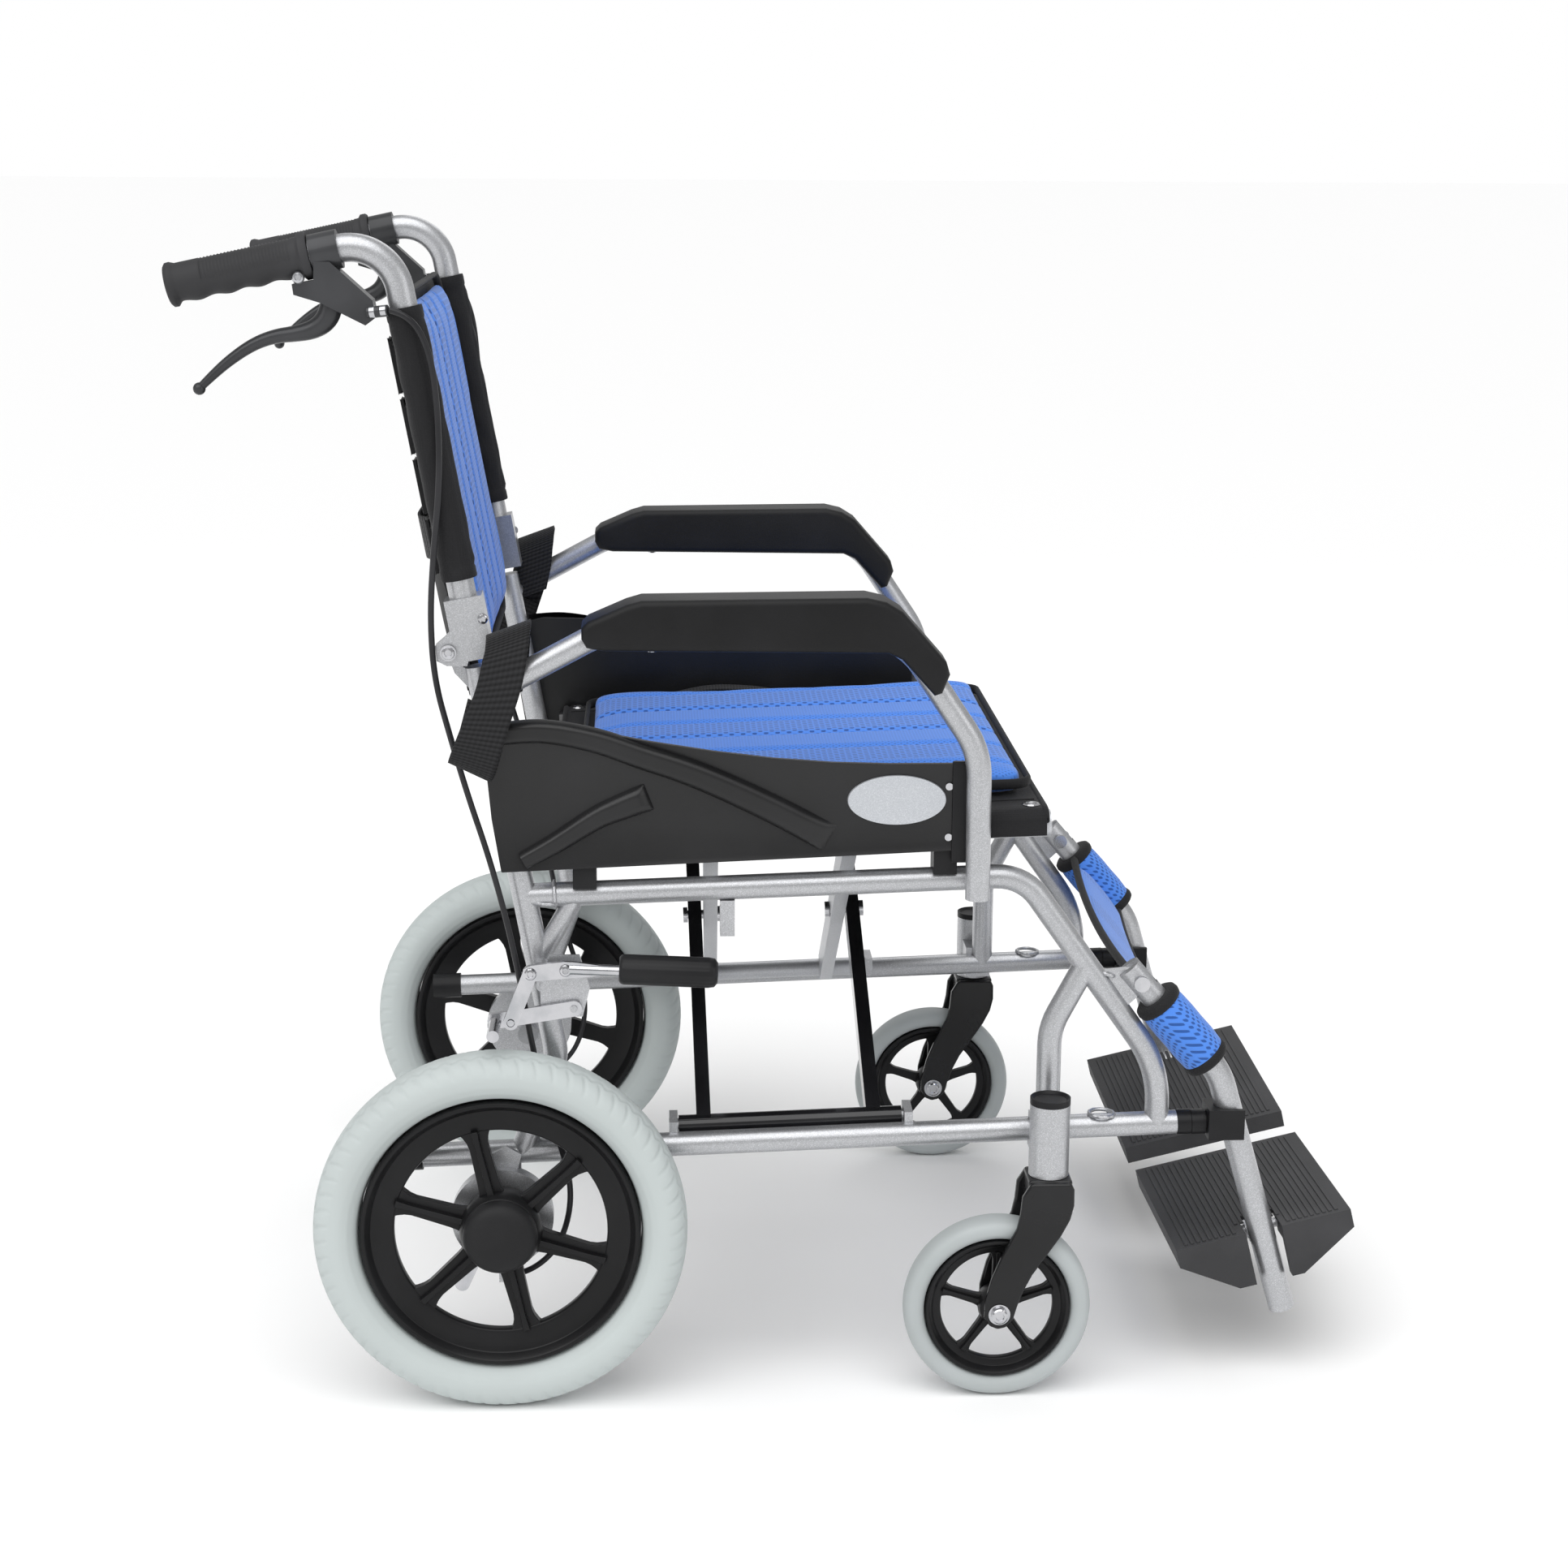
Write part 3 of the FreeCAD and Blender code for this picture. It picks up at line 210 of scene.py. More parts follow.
gloss = add_node(mould, "MapRange", Value=cloud.outputs["Fac"], To_Min=mould_in["Low Roughness"],
                 To_Max=mould_in["High Roughness"])
feed(mould, mould_out["Colour"], blend_colours(mould, patch.outputs["Result"], mould_in["Base"], mould_in["Scuff"]))
feed(mould, mould_out["Roughness"], gloss.outputs["Result"])
feed(mould, mould_out["Height"], pebble.outputs["Fac"])


def raise_surface(finish, height, distance, strength=1.0):
    """Feed a height to a Bump node and on to the shader's Normal."""
    tree = finish.node_tree
    bump = add_node(tree, "Bump", Strength=strength, Distance=distance, Height=height)
    feed(tree, tree.nodes["Principled BSDF"].inputs["Normal"], bump.outputs["Normal"])


def place_effect(finish, effect, depth=None, **values):
    """Put a node group in a material, on Object coordinates, with its own values; its height is that deep."""
    tree = finish.node_tree
    node = tree.nodes.new("ShaderNodeGroup")
    node.node_tree = effect
    where = add_node(tree, "TexCoord")
    for label, value in (*values.items(), ("Vector", where.outputs["Object"])):
        feed(tree, node.inputs[label.replace("_", " ")], value)
    for label, socket in (("Colour", "Base Color"), ("Roughness", "Roughness")):
        feed(tree, tree.nodes["Principled BSDF"].inputs[socket], node.outputs[label])
    if depth:
        raise_surface(finish, node.outputs["Height"], depth)


def moulded(name, base, scuff, low, high, grain=1400.0, depth=0.00006, cloud_scale=14.0, specular=0.2, **plain):
    """Moulded plastic or rubber of that colour and gloss."""
    finish = new_finish(name, base, low, specular=specular, **plain)
    place_effect(finish, mould, depth, Base=(*base, 1), Scuff=(*scuff, 1), Cloud_Scale=cloud_scale,
                 Grain_Scale=grain, Low_Roughness=low, High_Roughness=high)
    return finish


cable_sleeve = moulded("cable_sleeve", (0.016, 0.016, 0.018), (0.03, 0.03, 0.033), 0.28, 0.42, coat=0.15)


def line_mesh(name, points, thickness, swell=None):
    """A smooth line near those points: a tube that swells as asked, or bare points where the thickness is 0."""
    curve = bpy.data.curves.new(name + "_line", "CURVE")
    curve.dimensions = "3D"
    curve.bevel_depth = thickness / 2
    curve.bevel_resolution = 4
    curve.use_fill_caps = thickness > 0
    spline = curve.splines.new("NURBS")
    spline.points.add(len(points) - 1)
    for knot, point, radius in zip(spline.points, points, swell or [1] * len(points)):
        knot.co = (*point, 1)
        knot.radius = radius
    spline.order_u = 3
    spline.use_endpoint_u = True
    spline.resolution_u = 10
    holder = add_object(name + "_line", curve)
    mesh = mesh_now(holder)
    bpy.data.objects.remove(holder)
    mesh.name = name
    return mesh


def show(name, mesh, finish, slot, body=None, *nodes):
    """Put a mesh in the scene as a piece with its finish, on its body, in place of its CAD nodes."""
    piece = add_object(name, mesh)
    mesh.materials.clear()
    mesh.materials.append(finish)
    if body:
        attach(piece, body)
    if nodes:
        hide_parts(*nodes)
    return piece


for side, hand in (("right", -1), ("left", 1)):
    cable_points = [at(x, hand * y, z) for x, y, z in CABLE_ROUTE]
    cable_line = [v.co.copy() for v in line_mesh("cable", cable_points, 0).vertices]
    cable_run = sum((b - a).length for a, b in zip(cable_line, cable_line[1:]))
    cable = show(side + "_cable_run", line_mesh(side + "_cable_run", cable_points, CABLE_THICK), cable_sleeve,
                 "cable_black", None, side + "_brake_cable")
    for face in cable.data.polygons:
        face.use_smooth = True
    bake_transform(cable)


# The frame's silver tubes: aluminium, bent and welded, sprayed in a satin silver with fine bright flake.
# The armrest tubes, back canes and leg tubes have the same paint; the silver half of the cross brace has a lighter,
# rougher silver of its own.
flake, flake_in, flake_out = new_effect(
    "paint_flake",
    [("Vector", "Vector", None), ("Paint", "Color", (0.6, 0.6, 0.62, 1)), ("Bright", "Color", (0.85, 0.85, 0.87, 1)),
     ("Flake Scale", "Float", 1500.0), ("Low Roughness", "Float", 0.3), ("High Roughness", "Float", 0.45)],
    [("Colour", "Color"), ("Roughness", "Float"), ("Height", "Float")])
speck = add_node(flake, "TexVoronoi", Vector=flake_in["Vector"], Scale=flake_in["Flake Scale"])
speck_split = add_node(flake, "SeparateColor", Color=speck.outputs["Color"])
speck_share = step(flake, "POWER", speck_split.outputs["Red"], 3.0)
spray = add_node(flake, "TexNoise", Vector=flake_in["Vector"], Scale=30, Detail=4)
spray_gloss = add_node(flake, "MapRange", Value=spray.outputs["Fac"], To_Min=flake_in["Low Roughness"],
                       To_Max=flake_in["High Roughness"])
orange_peel = add_node(flake, "TexNoise", Vector=flake_in["Vector"], Scale=420)
feed(flake, flake_out["Colour"], blend_colours(flake, speck_share, flake_in["Paint"], flake_in["Bright"]))
feed(flake, flake_out["Roughness"], spray_gloss.outputs["Result"])
feed(flake, flake_out["Height"], step(flake, "MULTIPLY_ADD", speck_split.outputs["Green"], 0.35,
                                      orange_peel.outputs["Fac"]))

PAINT_DEPTH = 0.00002
silver_paint = new_finish("silver_paint", (0.6, 0.6, 0.62), 0.36, metallic=0.82, coat=0.25, coat_roughness=0.2)
place_effect(silver_paint, flake, PAINT_DEPTH, Paint=(0.42, 0.425, 0.44, 1), Bright=(0.66, 0.67, 0.69, 1),
             Flake_Scale=2400.0, Low_Roughness=0.3, High_Roughness=0.46)
brace_silver = new_finish("brace_silver_paint", (0.55, 0.56, 0.58), 0.4, metallic=0.75, coat=0.15, coat_roughness=0.25)
place_effect(brace_silver, flake, PAINT_DEPTH, Paint=(0.5, 0.51, 0.53, 1), Bright=(0.66, 0.67, 0.7, 1),
             Flake_Scale=2400.0, Low_Roughness=0.36, High_Roughness=0.5)
gloss_black = moulded("gloss_black_enamel", (0.008, 0.008, 0.009), (0.014, 0.014, 0.016), 0.12, 0.22, grain=500.0,
                      depth=0.00003, coat=0.6, coat_roughness=0.06)
fitting_black = moulded("fitting_black", (0.011, 0.011, 0.012), (0.018, 0.018, 0.019), 0.3, 0.46)


def finish_nodes(finish, *names):
    """Give CAD nodes that keep their shape a better finish, on both sides where the name starts with a dot."""
    for name in names:
        for whole in ([side + name.replace(".", "_") for side in SIDES] if name.startswith(".") else [name]):
            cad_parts[whole].material_slots[0].material = finish


finish_nodes(silver_paint, ".side_frame", ".armrest_tube", ".back_cane", ".legrest_tube", ".park_bracket",
             ".brake_drum")
finish_nodes(fitting_black, ".frame_caps", ".legrest_stay")
finish_nodes(brace_silver, "cross_brace_silver")
finish_nodes(gloss_black, "cross_brace_black")


# Weld beads: small rippled rings of aluminium where one tube meets another on the side frames,
# laid by hand and painted over with the same silver.
def settle(bm):
    """Merge doubled points and turn every face outwards."""
    bmesh.ops.remove_doubles(bm, verts=bm.verts, dist=1e-6)
    bmesh.ops.recalc_face_normals(bm, faces=bm.faces)


def make_mesh(name, bm, crease=32):
    """The mesh of a finished bmesh, smooth but for its sharp corners."""
    settle(bm)
    mesh = bpy.data.meshes.new(name)
    bm.to_mesh(mesh)
    bm.free()
    mesh.shade_smooth()
    mesh.set_sharp_from_angle(angle=radians(crease))
    return mesh


def other_hand(name, mesh):
    """The same mesh for the left side of the chair."""
    copy = mesh.copy()
    copy.name = name
    copy.transform(Matrix.Scale(-1, 4, (0, 1, 0)))
    copy.flip_normals()
    return copy


def soften(piece, width, corners=2):
    """Round a piece's sharp edges by that many millimetres."""
    bevel = piece.modifiers.new("soft_edges", "BEVEL")
    bevel.width = width / 1000
    bevel.segments = corners
    bevel.limit_method = "ANGLE"
    bevel.angle_limit = radians(35)
    bevel.harden_normals = True


def show_made(name, bm, finish, slot, body, *nodes, crease=60):
    """A piece from its finished bmesh."""
    return show(name, make_mesh(name, bm, crease), finish, slot, body, *nodes)


def show_pair(name, bm, finish, slot, body, *nodes, crease=32, rounding=0, corners=2):
    """A piece on the right side, built there, and its mirror image on the left; gives both."""
    mesh = make_mesh("right_" + name, bm, crease)
    pair = []
    for side, one in zip(SIDES, (mesh, other_hand("left_" + name, mesh))):
        pair.append(show(side + "_" + name, one, finish, slot, side + "_" + body, *(side + "_" + n for n in nodes)))
        if rounding:
            soften(pair[-1], rounding, corners)
    return pair


def turned(bm, section, centre, axis, steps=96):
    """Turn a closed section, given in millimetres as (radius, distance along the axis), once about the axis."""
    axis = Vector(axis).normalized()
    out = axis.orthogonal().normalized()
    corners = [bm.verts.new(centre + (out * r + axis * w) / 1000) for r, w in section]
    edges = [bm.edges.new(pair) for pair in zip(corners, corners[1:] + corners[:1])]
    bmesh.ops.spin(bm, geom=corners + edges, cent=centre, axis=axis, angle=tau, steps=steps, use_merge=True)


def add_part(bm, part):
    """Move a finished part into a larger bmesh."""
    blank = bpy.data.meshes.new("blank")
    part.to_mesh(blank)
    part.free()
    bm.from_mesh(blank)
    bpy.data.meshes.remove(blank)


def weld(bm, centre, axis, radius, stretch=1.0, along=(1, 0, 0)):
    """One bead round a tube, its ripples a couple of millimetres apart."""
    bead = bmesh.new()
    turned(bead, [(radius + 1.7 * cos(tau * n / 8), 1.7 * sin(tau * n / 8)) for n in range(8)], centre, axis, 72)
    axis = Vector(axis).normalized()
    along = (Vector(along) - axis * axis.dot(Vector(along))).normalized()
    for vert in bead.verts:
        arm = vert.co - centre
        flat = arm - axis * arm.dot(axis)
        turn = atan2(flat.cross(along).dot(axis), flat.dot(along))
        ripple = 1 + 0.18 * sin(turn * radius * 1.1) * (flat.length * 1000 - radius + 1.7) / 3.4 * 1.7 / radius
        vert.co = centre + arm * ripple + along * (stretch - 1) * flat.dot(along)
    add_part(bm, bead)


SLOPE = (cos(radians(2)), 0, sin(radians(2)))
beads = bmesh.new()
for spot, axis, radius, stretch in (
        (at(8, -FRAME_Y, 203.5), (0.1, 0, 1), 10.2, 1.0), (at(39.5, -FRAME_Y, 417), (0.05, 0, 1), 10.2, 1.0),
        (at(46, -FRAME_Y, 423), SLOPE, 10.2, 1.0), (at(499, -FRAME_Y, 229), (0.02, 0, 1), 10.2, 1.0),
        (at(388, -247, 433), (0, 1, 0), 7.4, 1.0), (at(500, -FRAME_Y, 352), (0.35, 0, 1), 6.4, 1.0)):
    weld(beads, spot, axis, radius, stretch)
show_pair("weld_beads", beads, silver_paint, "frame_silver", "frame", crease=60)


# The steel fastenings: chrome-plated socket screws through the frame, the axle nuts, the panel screws,
# the brace pivots and the parking brake's pressed links.
chrome = new_finish("chrome_plate", (0.6, 0.6, 0.62), 0.1, metallic=1.0)
place_effect(chrome, mould, PAINT_DEPTH, Base=(0.56, 0.56, 0.58, 1), Scuff=(0.44, 0.45, 0.47, 1), Cloud_Scale=60.0,
             Grain_Scale=900.0, Low_Roughness=0.1, High_Roughness=0.24)
finish_nodes(chrome, ".frame_bolts", ".park_lever", ".park_link", ".park_arm", ".brake_arm", "brace_pivot_bolts")


def screw_head(bm, centre, axis, radius, tall):
    """A domed head with its hexagon socket sunk in the top; the axis points out of it."""
    axis = Vector(axis).normalized()
    turned(bm, [(0.001, tall - 1.4), (radius * 0.42, tall - 1.4), (radius * 0.5, tall), (radius * 0.8, tall * 0.86),
                (radius, tall * 0.35), (radius, 0), (0.001, 0)], centre, axis, 36)


heads = bmesh.new()
for up in (473, 515):
    screw_head(heads, at(373, -249.6, up), OUTBOARD, 3.6, 2.0)
show_pair("screw_heads", heads, chrome, "chrome", "frame")
hinge_heads = bmesh.new()
screw_head(hinge_heads, at(-34.6, -246.6, 624.9), OUTBOARD, 6.0, 4.0)
screw_head(hinge_heads, at(-7, -246.5, 652), (0.3, -1, 0), 4.2, 2.4)
show_pair("hinge_screw_heads", hinge_heads, chrome, "chrome", "back")


# The solid tyres: pale grey polyurethane moulded on the rims. The rear ones are 305 mm across, with a zigzag rib
# round the crown and slanting shoulder blocks; the castors' are smooth.
tyre_grey = moulded("tyre_grey", (0.50, 0.545, 0.54), (0.465, 0.505, 0.50), 0.5, 0.62, grain=1500.0, depth=0.00002,
                    cloud_scale=6.0, specular=0.35)
castor_grey = moulded("castor_tyre_grey", (0.42, 0.45, 0.455), (0.39, 0.42, 0.42), 0.42, 0.56, grain=1500.0,
                      depth=0.00002, specular=0.35)
REAR_HUB = at(0, -280, 152.4)
CASTOR_HUB = at(409, -275, 77.9)


def squared(part, power):
    """A sine or cosine raised to a power with its sign kept, which squares off a round section."""
    return abs(part) ** power * (1 if part > 0 else -1)


def tyre_section(outer, inner, half, corners, square):
    """A tyre's section, squarer than an ellipse: (radius, distance outboard)."""
    middle, reach = (outer + inner) / 2, (outer - inner) / 2
    return [(middle + reach * squared(cos(tau * n / corners), 2 / square), half * squared(sin(tau * n / corners),
                                                                                          2 / square))
            for n in range(corners)]


def groove(distance, half_width):
    """1 in the middle of a groove, falling to 0 at its edges."""
    share = max(0.0, 1 - abs(distance) / half_width)
    return share * share * (3 - 2 * share)


PITCHES = 66
rear_tyre = bmesh.new()
turned(rear_tyre, tyre_section(152.4, 114.6, 23, 76, 2.25), REAR_HUB, OUTBOARD, PITCHES * 10)
for vert in rear_tyre.verts:
    arm = vert.co - REAR_HUB
    across, radius = -arm.y * 1000, hypot(arm.x, arm.z) * 1000
    if radius < 137:
        depth = 0.35 * groove(radius - 121, 1.3) + 0.35 * groove(radius - 126, 1.3)
        vert.co.y += (1 if across < 0 else -1) * -depth / 1000
        continue
    share = (atan2(arm.z, arm.x) / tau * PITCHES) % 1
    zigzag = (abs(share * 2 - 1) - 0.5) * 5.2
    depth = 1.5 * groove(across - zigzag - 8.2, 1.5) + 1.5 * groove(across - zigzag + 8.2, 1.5)
    if abs(across) > 9.5:
        slant = (share + (abs(across) - 9.5) * 0.035) % 1
        ramp = min(1, (abs(across) - 9.5) / 2) * min(1, (radius - 137) / 4)
        depth = max(depth, 1.5 * groove(slant - 0.5, 0.17) * ramp)
    elif abs(across) < 4:
        depth = max(depth, 0.7 * groove(share - 0.5, 0.12))
    pull = -depth / 1000 / (radius / 1000)
    vert.co = REAR_HUB + Vector((arm.x * (1 + pull), arm.y, arm.z * (1 + pull)))
show_pair("rear_tyre_tread", rear_tyre, tyre_grey, "grey_tyre", "wheel", "rear_tyre", crease=80)

castor_tyre = bmesh.new()
turned(castor_tyre, tyre_section(77.9, 60.2, 14, 40, 2.5), CASTOR_HUB, OUTBOARD, 128)
show_pair("castor_tyre_ring", castor_tyre, castor_grey, "castor_grey", "castor_wheel", "castor_tyre", crease=80)


# The spoked wheels: black glass-filled nylon, moulded in one piece with ribbed spokes. The rear wheel turns on
# a fixed axle behind a press-on cap; the castor wheel turns on a bolt through the fork.
rim_black = moulded("rim_black", (0.008, 0.008, 0.0085), (0.013, 0.013, 0.014), 0.26, 0.38, grain=900.0, depth=0.00005)
cap_grey = moulded("hub_cap_grey", (0.013, 0.013, 0.014), (0.019, 0.019, 0.02), 0.45, 0.6, grain=1100.0, depth=0.00007)


def spoke_block(bm, hub, angle, start, end, half_wide, flare, half_deep, offset):
    """One spoke along +X turned about the hub, wider at both ends where it runs into the hoop and the hub."""
    part = bmesh.new()
    bmesh.ops.create_cube(part, size=2)
    bmesh.ops.subdivide_edges(part, edges=[e for e in part.edges if abs(e.verts[0].co.x - e.verts[1].co.x) > 1],
                              cuts=11)
    for vert in part.verts:
        share = (vert.co.x + 1) / 2
        wide = half_wide * (1.18 - 0.3 * share)
        wide += flare * ((max(0, share - 0.72) / 0.28) ** 2 + 8 * max(0, 0.25 - share) ** 2)
        vert.co = Vector(((start + (end - start) * share) / 1000, (vert.co.y * half_deep + offset) / 1000,
                          vert.co.z * wide / 1000))
    bmesh.ops.transform(part, matrix=Matrix.Translation(hub) @ Matrix.Rotation(radians(angle), 4, "Y"),
                        verts=part.verts)
    add_part(bm, part)


rear_rim = bmesh.new()
turned(rear_rim, [(114.4, -15), (114.4, 13), (113, 15), (110.4, 15), (109, 13.4), (105.6, 8), (99, 6), (90, 5.4),
                  (87.6, 4.6), (86.8, 3), (86.8, -3), (87.6, -4.6), (99, -6), (105.6, -8), (109, -13),
                  (111, -15)], REAR_HUB, OUTBOARD, 144)
turned(rear_rim, [(10, -17), (30, -17), (31.5, -14), (33, -4), (34, 4), (33, 10), (30.5, 14), (24, 15),
                  (10, 15)], REAR_HUB, OUTBOARD, 72)
for number in range(6):
    spoke_block(rear_rim, REAR_HUB, 17 + 60 * number, 24, 90, 8.2, 7.5, 4.4, 0.4)
    spoke_block(rear_rim, REAR_HUB, 17 + 60 * number, 24, 89, 2.3, 1.0, 3.4, -5.8)
show_pair("rear_wheel_rim", rear_rim, rim_black, "black_plastic", "wheel", "rear_rim", rounding=0.9)
hub_cap = bmesh.new()
turned(hub_cap, [(0.01, 12), (29.5, 12), (30.5, 14), (30.5, 18), (29.6, 22), (27, 25.6), (22.5, 28), (16, 29.6),
                 (8, 30.4), (0.01, 30.6)], REAR_HUB, OUTBOARD, 72)
show_pair("hub_cap", hub_cap, cap_grey, "black_plastic", "wheel", crease=50)

castor_rim = bmesh.new()
turned(castor_rim, [(60.2, -11), (60.2, 10), (59, 11.4), (57.2, 11.4), (56, 10), (53.5, 5), (49, 4.2),
                    (47.4, 3.4), (46.8, 2), (46.8, -2), (47.4, -3.4), (53.5, -5), (56, -10),
                    (57.2, -11)], CASTOR_HUB, OUTBOARD, 96)
turned(castor_rim, [(4.1, -13), (13.5, -13), (15.5, -9), (16, 6), (14.5, 11), (11, 13), (4.1, 13)], CASTOR_HUB,
       OUTBOARD, 48)
for number in range(5):
    spoke_block(castor_rim, CASTOR_HUB, -90 - 72 * number, 12, 49, 3.9, 4.2, 3.2, 0)
    spoke_block(castor_rim, CASTOR_HUB, -90 - 72 * number, 12, 48, 1.5, 0.5, 2.2, -4.0)
show_pair("castor_wheel_rim", castor_rim, rim_black, "black_plastic", "castor_wheel", "castor_rim", rounding=0.6)


# The castor forks: two curved arms of gloss black nylon under a square crown, on a steel stem,
# with a chrome axle bolt and its washer and nut at the foot.
def slab(bm, outline, near, far):
    """A flat part cut to an outline of (ahead, up) points, between two distances across the chair."""
    verts = [bm.verts.new(at(x, near, z)) for x, z in outline]
    face = bm.faces.new(verts)
    grown = bmesh.ops.extrude_face_region(bm, geom=[face])["geom"]
    moved = [g for g in grown if isinstance(g, bmesh.types.BMVert)]
    bmesh.ops.translate(bm, vec=Vector((0, (far - near) / 1000, 0)), verts=moved)
    return verts + moved


fork_black = moulded("fork_black", (0.007, 0.007, 0.0075), (0.011, 0.011, 0.012), 0.2, 0.32, grain=700.0,
                     depth=0.00004, coat=0.25)
FORK_OUTLINE = [(433, 191.5), (466, 191.5), (468.6, 186), (468.8, 172), (466, 160), (459, 146), (447, 128),
                (436, 112), (429, 98), (424, 84), (421, 73), (415, 65.6), (408, 64), (401, 67), (396.6, 75),
                (397, 88), (402, 108), (410, 128), (417, 142), (422, 152), (424.5, 164), (426, 180)]
forks = bmesh.new()
slab(forks, FORK_OUTLINE, -290.4, -296.6)
slab(forks, FORK_OUTLINE, -259.6, -253.4)
slab(forks, [(431.6, 165), (467, 165), (467.4, 192.6), (431.4, 192.6)], -258, -292)
show_pair("fork_arms", forks, fork_black, "black_plastic", "castor_fork", "castor_fork", rounding=2.2, corners=3)
bolts = bmesh.new()
for outward in (-1, 1):
    face = CASTOR_HUB + Vector((0, outward * 0.0216, 0))
    turned(bolts, [(0.01, 0), (9, 0), (9, 1.2), (0.01, 1.2)], face, (0, outward, 0), 36)
    turned(bolts, [(0.01, 1.2), (6.4, 1.2), (6.6, 4.8), (5.6, 5.8), (3.6, 5.8), (3.2, 4.4), (0.01, 4.4)], face,
           (0, outward, 0), 6 * 4)
turned(bolts, [(0.01, -22), (3.9, -22), (3.9, 22), (0.01, 22)], CASTOR_HUB, (0, 1, 0), 24)
turned(bolts, [(0.01, 0), (8, 0), (8, 60), (0.01, 60)], at(449.5, -275, 190.5), (0, 0, 1), 32)
show_pair("fork_axle", bolts, chrome, "chrome", "castor_fork")
cups = bmesh.new()
turned(cups, [(0.01, 1.2), (9, 1.6), (13, 3), (15.4, 5.4), (16.6, 5.2), (16.6, 0), (0.01, 0)],
       at(449.5, -275, 254), (0, 0, 1), 48)
show_pair("housing_cup", cups, fitting_black, "black_plastic", "frame", crease=45)


# The arm pads: moulded skin foam, black, faceted along the top with soft corners,
# screwed to the armrest tube from below.
pad_skin = moulded("arm_pad_skin", (0.009, 0.009, 0.0095), (0.013, 0.013, 0.014), 0.4, 0.52, grain=820.0, depth=0.00012)
pads = bmesh.new()
slab(pads, [(71, 641), (75, 634), (88, 631.5), (311, 629), (322, 624), (348, 595), (354, 597), (360, 612), (357, 622),
            (322, 662), (309, 670), (294, 673.5), (118, 671.5), (106, 668), (76, 655), (71, 650)], -239, -283)
pad_bevel = [e for e in pads.edges if abs(e.verts[0].co.y - e.verts[1].co.y) < 1e-6]
bmesh.ops.bevel(pads, geom=pad_bevel, offset=0.0075, offset_type="OFFSET", segments=5, profile=0.5, affect="EDGES",
                clamp_overlap=True, material=-1)
for pad in show_pair("arm_pad_foam", pads, pad_skin, "charcoal_plastic", "frame", "arm_pad", crease=40):
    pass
pad_screws = bmesh.new()
for along in (126, 218):
    screw_head(pad_screws, at(along, -261, 630.4), (0, 0, -1), 4.6, 2.6)
show_pair("pad_screws", pad_screws, chrome, "chrome", "frame")


# The skirt guards: thin black moulded panels beside the seat, stiffened by a raised border and two swept ribs,
# clipped to the seat side and screwed to the armrest post through a bracket. Each has a blank oval plate.
panel_black = moulded("panel_black", (0.0075, 0.0075, 0.008), (0.011, 0.011, 0.012), 0.3, 0.42, specular=0.42,
                      grain=760.0, depth=0.00008)
plate_silver = new_finish("blank_plate", (0.55, 0.57, 0.6), 0.35, metallic=0.55)
place_effect(plate_silver, flake, Paint=(0.50, 0.52, 0.55, 1), Bright=(0.66, 0.68, 0.71, 1), Flake_Scale=2200.0,
             Low_Roughness=0.32, High_Roughness=0.42)
PANEL_BACK, PANEL_FACE, BORDER_FACE = -246.4, -249.0, -251.6
PANEL = [(4, 446), (120, 451), (250, 456.5), (372, 462), (380, 470), (380, 526), (372, 534), (316, 534),
         (270, 535.4), (223, 539), (175, 545), (125, 553), (90, 560), (59, 566), (20, 567), (8, 564), (1, 555),
         (-6, 524), (-3, 490)]


def through(points, share):
    """The point that share of the way along a smooth line through these points (Catmull-Rom)."""
    spans = len(points) - 1
    place = min(max(share * spans, 0), spans - 1e-9)
    n = int(place)
    t = place - n
    a, b, c, d = (Vector(points[min(max(n + k, 0), spans)]) for k in (-1, 0, 1, 2))
    return 0.5 * ((2 * b) + (c - a) * t + (2 * a - 5 * b + 4 * c - d) * t * t + (3 * b - a - 3 * c + d) * t ** 3)


def strip(bm, steps, across, place):
    """A strip of cloth or moulding: a grid whose points go where place(share along, share across) says."""
    made = bmesh.ops.create_grid(bm, x_segments=steps, y_segments=across, size=1)["verts"]
    for vert in made:
        vert.co = place((vert.co.x + 1) / 2, (vert.co.y + 1) / 2)
    return made


def swept_rib(bm, line, wide_start, wide_end, tall):
    """A raised half-round rib on the panel's outer face, along a line of (ahead, up) points."""
    def place(t, s):
        here, ahead = through(line, t), through(line, min(1, t + 0.01)) - through(line, max(0, t - 0.01))
        side_way = Vector((-ahead[1], ahead[0])).normalized()
        wide = wide_start + (wide_end - wide_start) * t
        edge = min(1, 10 * (1 - t) + 0.001) ** 0.5
        rise = tall * min(1, 1.15 * sqrt(max(0, 1 - (2 * s - 1) ** 2))) * edge
        spot = here + side_way * (s - 0.5) * wide
        return at(spot[0], PANEL_FACE - rise, spot[1])
    strip(bm, 56, 14, place)


panels = bmesh.new()
slab(panels, PANEL, PANEL_BACK, PANEL_FACE - 0.2)
slab(panels, PANEL, PANEL_FACE, BORDER_FACE)
front_faces = [f for f in panels.faces if all(abs(v.co.y * 1000 - BORDER_FACE) < 0.01 for v in f.verts)]
bmesh.ops.inset_region(panels, faces=front_faces, thickness=0.0062, depth=0)
bmesh.ops.translate(panels, vec=Vector((0, 0.0022, 0)), verts=list({v for f in front_faces for v in f.verts}))
swept_rib(panels, [(6, 560), (40, 561.5), (80, 554), (117, 541), (152, 529), (185, 515), (228, 494), (268, 472)],
          19, 25, 8.0)
swept_rib(panels, [(22, 455.5), (48, 470), (80, 490), (100, 499), (123, 508)], 15, 24, 7.6)
show_pair("skirt_guard", panels, panel_black, "charcoal_plastic", "frame", "side_panel", rounding=0.8)
brackets = bmesh.new()
